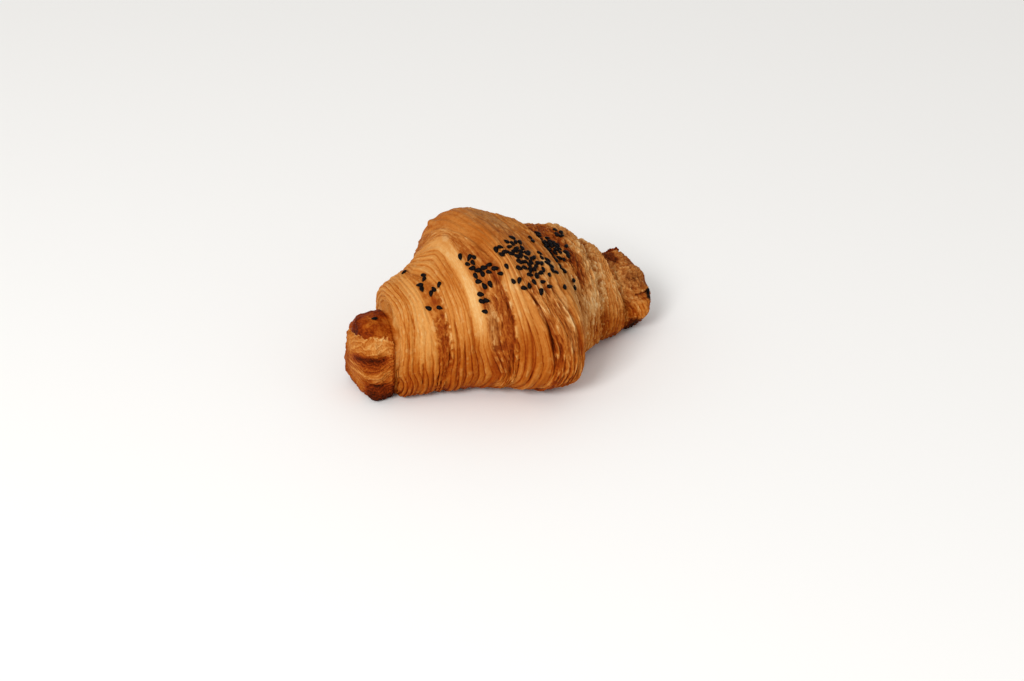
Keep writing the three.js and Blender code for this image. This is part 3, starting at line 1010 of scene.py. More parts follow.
    def layered(self, place: Place, layers: Array, lower: Array) -> tuple[Array, Array]:
        """Coarse and fine layers seen on edge, with a painted highlight on each rim and painted shade, partly
        browning, in the gaps between them.

        Args:
            place: where they are read.
            layers: how strongly they show, from 0 to 1.
            lower: 1 low on the roll, where their painted shade, highlights and browning are stronger, and 0
                on top.

        Returns:
            Height, and browning that carries the painted shade and highlights.
        """
        rim, gap, tone = self.coarse.at(place)
        fine_rim, fine_gap, _ = self.fine.at(place)
        coarse = self.layer_height * (rim * (0.9 + 0.25 * tone) - self.layer_middle)
        height = coarse + self.fine_height * (fine_rim - self.layer_middle)
        # Painted shade, partly browning, in the gaps, and a painted highlight on the rims.
        brown = self.gap_shade_and_browning * gap + self.fine_gap_shade_and_browning * fine_gap
        browning = brown - self.rim_highlight * rim + self.tone_contrast * tone
        return layers * height, layers * (1.0 + 0.6 * lower) * browning

    def wrinkled(self, place: Place, wrinkles: Array) -> tuple[Array, Array]:
        """Height and browning of wrinkled skin: scales, sharp ridges and cracks, with painted highlights on
        scale rims and ridge crests, paler higher scales, and painted shade in the cracks.

        Args:
            place: where it is read.
            wrinkles: how strongly they show.

        Returns:
            Height in millimetres, and browning.
        """
        scale, scale_rim = terraces(self.scale_count * self.scales.over(place), self.scale_riser)
        ridge = crest(self.ridges.over(place)) - self.ridge_middle
        crack = crest(self.cracks.over(place))
        height = self.scale_height * scale + self.ridge_height * ridge - self.crack_depth * crack
        # Painted highlight on scale rims and ridge crests, and painted shade in the cracks.
        pale = self.scale_rim_highlight * scale_rim + self.ridge_highlight * ridge + self.scale_paleness * scale
        return wrinkles * height, wrinkles * (self.crack_shade * crack - pale)

    def sheeted(self, place: Place, flaked: Array, shown: Array) -> tuple[Array, Array]:
        """Thin sheets of crust torn over one another, with a painted highlight on each rim and painted shadow
        at each foot.

        Args:
            place: where they are read.
            flaked: how far they stand up, from 0 to 1.
            shown: how strong the painted highlight on their rims and the painted shadow at their feet are.

        Returns:
            Height and browning.
        """
        sheet, rim = terraces(self.sheet_count * self.sheets.over(place), self.sheet_riser)
        # Painted highlight on each rim and painted shadow at each foot.
        return flaked * self.sheet_height * sheet, -shown * rim

    def bake(self, place: Place) -> Bake:
        """The bands' browning, and what layers, wrinkles, sheets, creases, flecks and blisters add to it.

        Args:
            place: where it is read.

        Returns:
            The skin's bake.
        """
        values = self.band_values(place.layer)
        turn = np.abs(place.turn)
        # Browning is stronger low on the roll: partly a darker bake, partly painted shade.
        lower = smooth(62.0, 104.0, turn)
        cap = self.cap.at(place)
        ended = smooth(0.005, 0.06, 1.0 - place.station)
        layers = mix(values["layers"], np.maximum(values["layers"], 0.85), lower) * (1.0 - 0.85 * cap) * ended
        calm = mix(0.45 + 0.55 * smooth(35.0, 65.0, turn), 1.0, smooth(0.5, 0.62, place.layer)) * ended
        wrinkles = values["wrinkles"] * calm * (1.0 - 0.3 * lower) * (1.0 - 0.5 * cap)
        flaked = (0.3 + 0.2 * layers) * (1.0 - 0.6 * cap) * ended
        # Flecks: painted glints of the egg wash, pale and pinkish, on small raised bumps.
        fleck = smooth(0.2, 0.42, self.flecks.over(place))
        flecked = self.fleck_height * fleck * (0.4 * layers + wrinkles)
        fleck_glints = self.fleck_highlight * fleck * (0.2 + 0.2 * layers + wrinkles)
        upper = mix(values["top"], values["side"], smooth(5.0, 55.0, turn))
        stain_browning, stain_blush = self.stained(place)
        parts = (
            (0.0, mix(mix(upper, self.cap_browning, cap), values["low"], lower)),
            self.layered(place, layers, lower),
            self.wrinkled(place, wrinkles),
            self.sheeted(place, flaked, (self.sheet_rim_highlight - 0.01 * layers) * ended),
            self.creased(place),
            (flecked, stain_browning - fleck_glints),
            (self.blister_height * self.blisters.over(place), self.patch_contrast * self.patches.over(place)),
        )
        height = sum(part[0] for part in parts)
        browning = sum(part[1] for part in parts)
        wash = values["wash"] * (1.0 - 0.6 * lower) + 0.3 * cap
        # The greyish pink tint is partly painted sheen of the egg wash, on the skins and the flecks.
        blush_and_sheen = values["blush_and_sheen"] * (1.0 - lower) + stain_blush + 0.25 * fleck
        return Bake(height, browning, wash, np.zeros(height.shape), blush_and_sheen)


@dataclass(frozen=True)
class Spot:
    """An oval spot on the near tip's chart: its middle, its half width and its half height."""

    across: float
    height: float
    half_width: float
    half_height: float

    def at(self, across: Array, height: Array) -> Array:
        """Bell curve over the distance from its middle."""
        aside = (across - self.across) / self.half_width
        return hill(np.hypot(aside, (height - self.height) / self.half_height))


@dataclass(frozen=True)
class Mark:
    """What a feature adds where its share is 1: height in millimetres, and browning."""

    rise: float
    browning: float


@dataclass(frozen=True)
class NearTip:
    """Bake of the near tip: a torn patch of brown crust over a pale fold, a dark slit under it, and thin
    layers that hang below the slit like a bowl between two lips."""

    chart: TipChart = TipChart()
    waves: Texture = Texture(Grain(11), (5.0, 5.0, 5.0), 3)
    crumples: Texture = Texture(Grain(19), (3.4, 3.4, 2.2), 4)
    tears: Texture = Texture(Grain(13), (1.4, 1.4, 7.0), 3)
    blotches: Texture = Texture(Grain(17), (6.0, 6.0, 4.0), 4)
    crumple_count: float = 3.4
    tear_reach: float = 1.6
    arch_pitch: float = 2.6
    bowl_pitch: float = 1.5
    corner_at: Spot = Spot(-67.0, 32.0, 4.5, 6.0)
    hole_at: Spot = Spot(-54.5, 10.6, 3.0, 0.8)
    pale_at: Spot = Spot(-54.0, 13.8, 3.0, 1.6)
    browning: float = 0.4
    patch: Mark = Mark(0.6, 0.14)
    right_patch: Mark = Mark(0.0, 0.2)
    patch_crumple: Mark = Mark(0.22, 0.0)
    patch_blotch: Mark = Mark(0.0, 0.2)
    patch_rim: Mark = Mark(0.3, -0.24)
    # Painted highlight on the rims of the crumples, and painted shade at their feet.
    crumple_rim: Mark = Mark(0.0, -0.12)
    blotch: Mark = Mark(0.6, 0.16)
    fold_crumple: Mark = Mark(0.3, 0.0)
    course: Mark = Mark(0.3, 0.0)
    # Painted highlight on the rims of the thin layers, and painted shade at their feet.
    course_rim: Mark = Mark(0.0, -0.14)
    slit: Mark = Mark(-1.1, 0.0)
    # Painted shade in the slit.
    slit_shade: Mark = Mark(0.0, 0.4)
    shade: Mark = Mark(0.0, 0.16)
    low: Mark = Mark(0.0, 0.34)
    under: Mark = Mark(0.0, 0.15)
    lip: Mark = Mark(0.5, -0.22)
    second_lip: Mark = Mark(0.6, -0.26)
    # The pit's darkening is painted shade.
    hole: Mark = Mark(-0.6, 0.3)
    pale: Mark = Mark(0.0, -0.12)
    corner: Mark = Mark(-1.8, 0.0)
    # Painted shade in the valley where the tip meets the next wrap.
    root: Mark = Mark(0.0, 0.16)
    back: Mark = Mark(0.0, 0.08)

    def courses(self, point: Array, aside: Array, under: Array, front: Array) -> tuple[Array, Array]:
        """Thin layers seen on edge, which arch over the slit and hang like a bowl below it.

        Args:
            point: points of the plain roll.
            aside: distance to the right of the slit's middle.
            under: 1 below the slit and 0 above it.
            front: 1 toward the chart and 0 behind it, where the layers are weaker.

        Returns:
            How far each step stands over the even slope, and an edge line as terraces have it.
        """
        bowl = point[..., 2] - 0.035 * np.square(aside + 1.0) - 0.05 * aside
        arch = point[..., 2] + 0.03 * np.square(aside - 7.0)
        slope = mix(arch / self.arch_pitch, bowl / self.bowl_pitch, under)
        course, rim = terraces(slope + 1.2 * self.waves.within(point), 0.3)
        strength = 0.3 + 0.7 * front
        return (course - slope) * strength, rim * strength

    def bake(self, place: Place) -> Bake:
        """All the marks of the near tip, each by its share.

        Args:
            place: where it is read.

        Returns:
            The near tip's bake.
        """
        point = place.point
        z = point[..., 2]
        across = self.chart.across(point)
        front = self.chart.front(point)
        hollow, shade, lip, _ = self.chart.folds
        aside = across - hollow.across
        under = 1.0 - smooth(-1.0, 1.0, hollow.offset(across, z))
        course, course_rim = self.courses(point, aside, under, front)
        crumple, crumple_rim = terraces(self.crumple_count * self.crumples.within(point), 0.25)
        over_rim = self.chart.above_patch(point) - self.tear_reach * self.tears.within(point)
        patch = smooth(-0.2, 0.2, over_rim)
        fold = 1.0 - patch
        blotch = self.blotches.within(point)
        slit = front * hill((hollow.offset(across, z) + 0.6) / 2.0) * (1.0 - smooth(6.5, 9.5, np.abs(aside)))
        low = front * (1.0 - smooth(8.5, 14.5, z + 4.0 * blotch)) * smooth(-62.0, -56.5, across)
        on_lip = hill(lip.offset(across, z) / 0.7) * hill((across - lip.across) / 6.5)
        second_lip = hill((lip.offset(across, z) - 3.0) / 0.5) * hill((across + 65.0) / 3.0)
        pale = front * self.pale_at.at(across, z)
        shares = (
            (self.patch, patch),
            (self.right_patch, patch * smooth(-68.0, -62.5, across)),
            (self.patch_crumple, patch * crumple),
            (self.patch_blotch, patch * blotch),
            (self.patch_rim, hill((over_rim + 0.4) / 0.5) * smooth(-0.2, 0.3, crumple_rim)),
            (self.crumple_rim, crumple_rim),
            (self.blotch, blotch),
            (self.fold_crumple, fold * crumple),
            (self.course, fold * (1.0 + under) * course),
            (self.course_rim, fold * course_rim),
            (self.slit, slit),
            # Painted shade in the slit.
            (self.slit_shade, fold * slit),
            (self.shade, fold * front * shade.at(across, z)),
            (self.low, fold * low),
            (self.under, fold * under),
            (self.lip, front * on_lip),
            (self.second_lip, front * second_lip),
            # Painted shade in the pit.
            (self.hole, front * self.hole_at.at(across, z)),
            (self.pale, pale),
            (self.corner, self.corner_at.at(across, z)),
            # Painted shade toward the valley at the next wrap.
            (self.root, fold * smooth(0.08, 0.105, place.station)),
            (self.back, fold * (1.0 - front)),
        )
        height = sum(mark.rise * share for mark, share in shares) * smooth(0.0, 0.012, place.station)
        browning = self.browning + sum(mark.browning * share for mark, share in shares)
        blush_and_sheen = fold * (0.08 + 0.3 * pale)
        return Bake(height, browning, 0.25 + 0.3 * patch, np.zeros(height.shape), blush_and_sheen)


@dataclass(frozen=True)
class FarTip:
    """Extra bake of the far tip: wrinkles that run along it, a yellow bulge with near-black crust under it
    and a burnt corner."""

    roll: Roll = Roll()
    plates: Texture = Texture(Grain(15), (6.0, 3.0, 3.0), 4)
    pits: Texture = Texture(Grain(16), (2.6, 2.6, 2.6), 2)
    bulge_at: Lump = Lump(0.928, 93.0, 4.4)
    under_at: Lump = Lump(0.905, 118.0, 6.5)
    burnt_at: Lump = Lump(0.955, 77.0, 2.6)
    plate_count: float = 3.2
    plate_height: float = 0.3
    # Painted highlight on plate rims and painted shade at their feet.
    plate_rim_highlight: float = 0.12
    pit_height: float = 0.08
    pit_contrast: float = 0.04
    bulge_paleness: float = 0.18
    under_bulge_darkening: float = 0.3
    end_browning: float = 0.14
    wash: float = 0.1

    def bake(self, place: Place) -> Bake:
        """What is added toward the far tip.

        Args:
            place: where it is read.

        Returns:
            What it adds to the skin's bake.
        """
        plate, plate_rim = terraces(self.plate_count * self.plates.within(place.point), 0.25)
        pit = crest(self.pits.within(place.point))
        bulge = self.bulge_at.at(self.roll, place.point)
        under = self.under_at.at(self.roll, place.point)
        burnt = self.burnt_at.at(self.roll, place.point)
        height = self.plate_height * plate * (1.0 - bulge) + self.pit_height * (pit - 0.4)
        height = height * smooth(0.0, 0.012, 1.0 - place.station)
        # Painted highlight on plate rims and painted shade at their feet.
        browning = self.pit_contrast * (0.5 - pit) - self.plate_rim_highlight * plate_rim * (1.0 - bulge)
        # Darker under the bulge.
        browning = browning - self.bulge_paleness * bulge + self.under_bulge_darkening * under
        browning = browning + self.end_browning * smooth(0.93, 0.99, place.station)
        # Near black under the bulge and at the burnt corner.
        scorch = fraction(0.8 * smooth(0.3, 0.75, under) + smooth(0.35, 0.8, burnt))
        return Bake(height, browning, np.full(height.shape, self.wash), scorch, 0.15 - 0.6 * bulge)


@dataclass(frozen=True)
class Crust:
    """The finished crust: the solid's relief, the fine relief over it, and its browning. Its borders turn
    true stations and layer stations into one another."""

    relief: Relief = Relief()
    skin: Skin = Skin()
    near_tip: NearTip = NearTip()
    far_tip: FarTip = FarTip()
    slow_sway: Wander = Wander(0.7, 13.0, 14.0)
    fast_sway: Wander = Wander(0.18, 4.0, 5.0)
    ridge_share: float = 0.5
    foot_browning: float = 0.12
    borders: tuple[Border, ...] = (
        Border(0.0, (0.0,), (0.0,)),
        Border(0.112, (-60.0, 23.0, 50.0, 85.0, 120.0, 175.0), (0.112, 0.118, 0.114, 0.107, 0.104, 0.11)),
        Border(0.195, (0.0,), (0.195,)),
        Border(
            0.232,
            (-60.0, -9.0, 1.0, 15.0, 29.0, 50.0, 63.0, 92.0, 106.0, 175.0),
            (0.225, 0.208, 0.22, 0.23, 0.238, 0.235, 0.23, 0.225, 0.222, 0.23),
        ),
        Border(
            0.303,
            (-60.0, -26.0, 0.0, 31.0, 45.0, 60.0, 89.0, 110.0, 175.0),
            (0.29, 0.284, 0.315, 0.309, 0.307, 0.302, 0.306, 0.328, 0.31),
        ),
        Border(
            0.352,
            (-60.0, -29.0, 4.0, 18.0, 27.0, 44.0, 60.0, 79.0, 93.0, 175.0),
            (0.33, 0.32, 0.335, 0.346, 0.352, 0.362, 0.351, 0.353, 0.36, 0.355),
        ),
        Border(
            0.402,
            (-60.0, 33.0, 65.0, 74.0, 80.0, 87.0, 92.0, 100.0, 175.0),
            (0.39, 0.397, 0.4, 0.406, 0.416, 0.426, 0.434, 0.44, 0.41),
        ),
        Border(
            0.505,
            (-60.0, 60.0, 67.0, 74.0, 80.0, 86.0, 95.0, 175.0),
            (0.5, 0.49, 0.494, 0.505, 0.514, 0.52, 0.526, 0.51),
        ),
        Border(0.608, (-60.0, -3.0, 19.0, 40.0, 82.0, 175.0), (0.6, 0.603, 0.62, 0.634, 0.652, 0.62)),
        Border(0.7, (-60.0, 175.0), (0.7, 0.7)),
        Border(0.806, (-60.0, -3.0, 29.0, 52.0, 74.0, 175.0), (0.82, 0.829, 0.816, 0.812, 0.806, 0.806)),
        Border(
            0.871,
            (-60.0, 2.0, 42.0, 64.0, 80.0, 90.0, 106.0, 175.0),
            (0.86, 0.852, 0.846, 0.853, 0.876, 0.884, 0.889, 0.875),
        ),
        Border(1.0, (0.0,), (1.0,)),
    )

    def bent(self, station: Array, angle: Array, to_layer: bool) -> Array:
        """Stations moved with the borders, stretched evenly between one border and the next.

        Args:
            station: layer stations, or true stations if they are turned into layer stations.
            angle: angles round the roll, in radians.
            to_layer: whether true stations are turned into layer stations.

        Returns:
            The other kind of station.
        """
        turn = turn_of(angle)
        total = np.zeros(np.broadcast(station, angle).shape)
        true_before = self.borders[0].at(turn)
        layer_before = self.borders[0].layer
        for border in self.borders[1:]:
            true_after = border.at(turn)
            true_step = true_after - true_before
            layer_step = border.layer - layer_before
            if to_layer:
                total = total + layer_step * fraction((station - true_before) / true_step)
            else:
                total = total + true_step * fraction((station - layer_before) / layer_step)
            true_before = true_after
            layer_before = border.layer
        return total

    def sway(self, layer: Array, angle: Array) -> Array:
        """Slow and fast wander of the layers along the roll, as a share of its length.

        Args:
            layer: layer stations.
            angle: angles in radians.

        Returns:
            Shifts of the stations.
        """
        roll = self.relief.roll
        travel = roll.travel(layer)
        sway = self.slow_sway.at(travel, *roll.ring(angle))
        sway = sway + self.fast_sway.at(travel, *roll.ring(angle), ahead=9.0)
        inside = smooth(0.09, 0.13, layer) * (1.0 - smooth(0.9, 0.96, layer))
        return inside * sway / roll.length

    def true_station(self, layer: Array, angle: Array) -> Array:
        """True stations of layer stations."""
        return self.bent(layer, angle, False) + self.sway(layer, angle)

    def layer_station(self, station: Array, angle: Array) -> Array:
        """Layer stations of true stations, found again four times as the wander depends on them.

        Args:
            station: true stations.
            angle: angles in radians.

        Returns:
            Layer stations.
        """
        layer = self.bent(station, angle, True)
        for _ in range(4):
            layer = self.bent(station - self.sway(layer, angle), angle, True)
        return layer

    def place(self, layer: Array, angle: Array) -> Place:
        """Places of layer stations and angles. The circle that noise is read on shrinks with the tips.

        Args:
            layer: layer stations.
            angle: angles in radians.

        Returns:
            The places.
        """
        layer, angle = np.broadcast_arrays(layer, angle)
        station = self.true_station(layer, angle)
        roll = self.relief.roll
        ring_a, ring_b = roll.ring(angle, roll.tip_rounding(station))
        return Place(layer, station, angle, roll.travel(layer), ring_a, ring_b, roll.point(station, angle))

    def surface(self, layer: Array, angle: Array) -> Surface:
        """The finished crust: the solid's relief and the fine relief along its normals, with its underside
        trimmed, and the bake of tips and skin blended.

        Args:
            layer: layer stations.
            angle: angles round the roll, in radians.

        Returns:
            The surface in millimetres on the roll's axis.
        """
        place = self.place(layer, angle)
        roll = self.relief.roll
        normal = roll.normal(place.station, place.angle)
        on_tip = 1.0 - smooth(0.104, 0.112, place.layer)
        nothing = Bake(*(np.zeros(place.layer.shape) for _ in range(5)))
        bake = nothing.add(self.skin.bake(place), 1.0 - on_tip).add(self.near_tip.bake(place), on_tip)
        bake = bake.add(self.far_tip.bake(place), smooth(0.872, 0.892, place.layer))
        height = self.relief.at(place.station, place.angle, place.point, place.layer, self.ridge_share)
        points = place.point + (height + bake.height)[..., None] * normal
        points[..., 2] -= roll.base_sink
        points[..., 2] = np.maximum(points[..., 2], roll.underside(points[..., 0], points[..., 1]))
        bake.browning = bake.browning + self.foot_browning * (1.0 - smooth(1.0, 8.0, points[..., 2]))
        for name in ("browning", "wash", "scorch", "blush_and_sheen"):
            setattr(bake, name, fraction(getattr(bake, name)))
        return Surface(points, normal, bake)


# Meshes


def to_frame(points: Array, roll: Roll) -> Array:
    """Points on the roll's axis, in millimetres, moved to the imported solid's frame in metres."""
    return (points - [0.0, roll.middle_y, 0.0]) * MILLIMETRE


def make_piece(name: str, points: Array, quads: Array, triangles: Array) -> bpy.types.Object:
    """A smooth mesh object from whole arrays, put into the mesh by foreach_set.

    Args:
        name: name of the piece.
        points: vertices in metres.
        quads: four vertex numbers a face.
        triangles: three vertex numbers a face.

    Returns:
        The new object, linked to the scene.
    """
    corners = np.concatenate([quads.ravel(), triangles.ravel()]).astype(np.int32)
    totals = np.concatenate([np.full(len(quads), 4), np.full(len(triangles), 3)]).astype(np.int32)
    starts = np.concatenate([[0], np.cumsum(totals)[:-1]]).astype(np.int32)
    mesh = bpy.data.meshes.new(name)
    mesh.vertices.add(len(points))
    mesh.vertices.foreach_set("co", points.astype(np.float32).ravel())
    mesh.loops.add(len(corners))
    mesh.loops.foreach_set("vertex_index", corners)
    mesh.polygons.add(len(totals))
    mesh.polygons.foreach_set("loop_start", starts)
    mesh.polygons.foreach_set("loop_total", totals)
    mesh.polygons.foreach_set("use_smooth", np.ones(len(totals), dtype=bool))
    mesh.update(calc_edges=True)
    mesh.validate()
    piece = bpy.data.objects.new(name, mesh)
    bpy.context.scene.collection.objects.link(piece)
    return piece


def tube_faces(rings: int, columns: int, first: int = 0) -> Array:
    """Quads of a tube whose rings close round: each joins two neighbours on a ring with the next ring.

    Args:
        rings: number of rings.
        columns: points on each ring.
        first: number of the first vertex.

    Returns:
        Four vertex numbers a face.
    """
    ring = np.arange(rings - 1)[:, None]
    column = np.arange(columns)[None, :]
    after = (column + 1) % columns
    here = first + ring * columns
    there = here + columns
    return np.stack([here + column, here + after, there + after, there + column], axis=-1).reshape(-1, 4)


def end_fans(rings: int, columns: int) -> Array:
    """Triangles that close a tube: from a first vertex before it to its first ring, and from its last ring
    to a last vertex after it.

    Args:
        rings: number of rings.
        columns: points on each ring.

    Returns:
        Three vertex numbers a face.
    """
    column = np.arange(columns)
    after = (column + 1) % columns
    last_ring = 1 + (rings - 1) * columns
    start = np.stack([np.zeros(columns, dtype=int), 1 + after, 1 + column], axis=-1)
    finish = np.stack([np.full(columns, 1 + rings * columns), last_ring + column, last_ring + after], axis=-1)
    return np.concatenate([start, finish])


def store_bake(piece: bpy.types.Object, bake: Bake) -> None:
    """Keeps browning with its painted shade and highlights, egg wash, scorch and the greyish pink tint with
    its painted sheen of each vertex as the four parts of one attribute.

    Args:
        piece: object whose mesh gets the attribute.
        bake: values on a tube's grid, which the two end points take from their own rings.
    """
    columns = []
    for values in (bake.browning, bake.wash, bake.scorch, bake.blush_and_sheen):
        columns.append(np.concatenate([[values[0].mean()], values.ravel(), [values[-1].mean()]]))
    attribute = piece.data.attributes.new(BAKE_ATTRIBUTE, "FLOAT_COLOR", "POINT")
    attribute.data.foreach_set("color", np.stack(columns, axis=-1).astype(np.float32).ravel())


class Dressed:
    """A piece of the croissant that takes one material, in one material slot."""

    slot = Slot.CRUST

    def dress(self, piece: bpy.types.Object, material: bpy.types.Material) -> None:
        """Gives the piece its material and body, hides the imported part, and reports it.

        Args:
            piece: the object.
            material: its material.
        """
        piece.data.materials.append(material)
        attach(piece, BODY)
        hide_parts(NODE)
        LOG.info("%s: %d faces", piece.name, len(piece.data.polygons))


def make_tube(name: str, points: Array, ends: list[Array], roll: Roll, bake: Bake) -> bpy.types.Object:
    """A closed tube with what is baked into it.

    Args:
        name: name of the piece.
        points: rings of points, in millimetres on the roll's axis.
        ends: the point before the first ring and the point after the last.
        roll: the roll whose axis the points lie on.
        bake: values at the points of the rings.

    Returns:
        The new object.
    """
    rings, columns = points.shape[:2]
    everything = np.concatenate([[ends[0]], points.reshape(-1, 3), [ends[1]]])
    faces = tube_faces(rings, columns, 1)
    piece = make_piece(name, to_frame(everything, roll), faces, end_fans(rings, columns))
    store_bake(piece, bake)
    return piece


# Finishes


@dataclass(frozen=True)
class Shade:
    """A colour as seen on screen, from 0 to 255 a part."""

    red: int
    green: int
    blue: int

    def linear(self) -> tuple[float, float, float, float]:
        """The colour in the renderer's linear light, with full opacity."""
        parts = []
        for value in (self.red, self.green, self.blue):
            level = value / 255.0
            parts.append(level / 12.92 if level <= 0.04045 else ((level + 0.055) / 1.055) ** 2.4)
        return (parts[0], parts[1], parts[2], 1.0)


class Board:
    """The nodes of a new material, with short ways to add them. A socket is fed by a plain value or by the
    result of another node."""

    def __init__(self, name: str) -> None:
        """Starts the material with its usual shader."""
        self.material = bpy.data.materials.new(name)
        self.material.use_nodes = True
        self.nodes = self.material.node_tree.nodes
        self.shader = self.nodes["Principled BSDF"].inputs

    def feed(self, socket: bpy.types.NodeSocket, value: Feed) -> None:
        """Gives a socket its value."""
        if isinstance(value, bpy.types.NodeSocket):
            self.material.node_tree.links.new(value, socket)
        else:
            socket.default_value = value

    def noise(self, scale: float, detail: float) -> bpy.types.NodeSocket:
        """Noise of a scale, in waves a metre, and a detail, read on the object's own coordinates.

        Args:
            scale: waves a metre.
            detail: how many finer waves are added.

        Returns:
            The noise.
        """
        texture = self.nodes.new("ShaderNodeTexNoise")
        self.feed(texture.inputs["Vector"], self.nodes.new("ShaderNodeTexCoord").outputs["Object"])
        self.feed(texture.inputs["Scale"], scale)
        self.feed(texture.inputs["Detail"], detail)
        return texture.outputs["Fac"]

    def sum_up(self, operation: str, *values: Feed) -> bpy.types.NodeSocket:
        """Result of a plain sum over two or three values.

        Args:
            operation: kind of sum.
            values: what goes into it.

        Returns:
            The result.
        """
        node = self.nodes.new("ShaderNodeMath")
        node.operation = operation
        for socket, value in zip(node.inputs, values):
            self.feed(socket, value)
        return node.outputs["Value"]

    def blend(self, share: Feed, first: Feed, second: Feed) -> bpy.types.NodeSocket:
        """Two colours mixed by a share. The node has sockets of other kinds, which are passed over.

        Args:
            share: 0 for the first colour and 1 for the second.
            first: one colour.
            second: the other colour.

        Returns:
            The colour between them.
        """
        node = self.nodes.new("ShaderNodeMix")
        node.data_type = "RGBA"
        self.feed(node.inputs["Factor"], share)
        colours = [socket for socket in node.inputs if socket.type == "RGBA"]
        self.feed(colours[0], first)
        self.feed(colours[1], second)
        return next(socket for socket in node.outputs if socket.type == "RGBA")

    def ramp(self, value: Feed, shades: tuple[Shade, ...], first: float = 0.0, last: float = 1.0) -> Feed:
        """Shades spread evenly from a first to a last value.

        Args:
            value: what they are read by.
            shades: two shades or more.
            first: value at which the first shade stands.
            last: value at which the last one stands.

        Returns:
            The colour.
        """
        node = self.nodes.new("ShaderNodeValToRGB")
        elements = node.color_ramp.elements
        while len(elements) > 1:
            elements.remove(elements[-1])
        elements[0].position = first
        elements[0].color = shades[0].linear()
        for number, shade in enumerate(shades[1:], 1):
            elements.new(first + (last - first) * number / (len(shades) - 1)).color = shade.linear()
        self.feed(node.inputs["Fac"], value)
        return node.outputs["Color"]


@dataclass(frozen=True)
class CrustFinish:
    """Baked dough, from pale layers to dark crust, with a thin egg wash on its skin."""

    golden: tuple[Shade, ...] = (
        Shade(218, 172, 110),
        Shade(206, 145, 77),
        Shade(190, 119, 50),
        Shade(166, 87, 21),
        Shade(138, 55, 5),
        Shade(104, 32, 2),
        Shade(54, 16, 2),
    )
    # Greyish pink tans, which partly paint the sheen of the egg wash.
    dull_sheen_shades: tuple[Shade, ...] = (
        Shade(214, 176, 128),
        Shade(200, 154, 101),
        Shade(178, 124, 71),
        Shade(152, 96, 46),
        Shade(122, 70, 28),
        Shade(88, 44, 14),
        Shade(49, 23, 8),
    )
    burnt: Shade = Shade(22, 11, 6)
    dry_roughness: float = 0.7
    washed_roughness: float = 0.42
    specular: float = 0.03
    speckle_scale: float = 800.0
    speckle_spread: float = 0.18
    flake_scale: float = 1900.0
    bump_strength: float = 0.5
    bump_distance: float = 0.0003

    def material(self) -> bpy.types.Material:
        """Colour from the browning by two ramps, blended by the greyish pink tint, which is partly painted
        sheen of the egg wash, and speckled by noise. Gloss follows the egg wash, and fine noise gives the
        bump of tiny flakes.

        Returns:
            The material.
        """
        board = Board("baked_crust")
        bake = board.nodes.new("ShaderNodeAttribute")
        bake.attribute_name = BAKE_ATTRIBUTE
        parts = board.nodes.new("ShaderNodeSeparateColor")
        board.feed(parts.inputs["Color"], bake.outputs["Color"])
        speckle = board.noise(self.speckle_scale, 4.0)
        speckle = board.sum_up("MULTIPLY_ADD", speckle, self.speckle_spread, -0.5 * self.speckle_spread)
        browning = board.sum_up("ADD", parts.outputs["Red"], speckle)
        golden = board.ramp(browning, self.golden)
        # The greyish pink tint is partly painted sheen.
        colour = board.blend(bake.outputs["Alpha"], golden, board.ramp(browning, self.dull_sheen_shades))
        charred = board.blend(parts.outputs["Blue"], colour, self.burnt.linear())
        board.feed(board.shader["Base Color"], charred)
        rough = board.nodes.new("ShaderNodeMapRange")
        board.feed(rough.inputs["To Min"], self.dry_roughness)
        board.feed(rough.inputs["To Max"], self.washed_roughness)
        board.feed(rough.inputs["Value"], parts.outputs["Green"])
        board.feed(board.shader["Roughness"], rough.outputs["Result"])
        bump = board.nodes.new("ShaderNodeBump")
        board.feed(bump.inputs["Strength"], self.bump_strength)
        board.feed(bump.inputs["Distance"], self.bump_distance)
        board.feed(bump.inputs["Height"], board.noise(self.flake_scale, 3.0))
        board.feed(board.shader["Normal"], bump.outputs["Normal"])
        board.feed(board.shader["Specular IOR Level"], self.specular)
        return board.material


@dataclass(frozen=True)
class SesameFinish:
    """Black sesame hull: nearly black, slightly waxy, and uneven in tone."""

    hull: Shade = Shade(6, 4, 5)
    worn: Shade = Shade(32, 16, 12)
    worn_from: float = 0.45
    worn_to: float = 0.8
    roughness: float = 0.5
    specular: float = 0.05
    mottle_scale: float = 1100.0

    def material(self) -> bpy.types.Material:
        """Two near-black tones mixed by noise, with a soft shine.

        Returns:
            The material.
        """
        board = Board("black_sesame")
        mottle = board.noise(self.mottle_scale, 3.0)
        colour = board.ramp(mottle, (self.hull, self.worn), self.worn_from, self.worn_to)
        board.feed(board.shader["Base Color"], colour)
        board.feed(board.shader["Roughness"], self.roughness)
        board.feed(board.shader["Specular IOR Level"], self.specular)
        return board.material


# Pieces


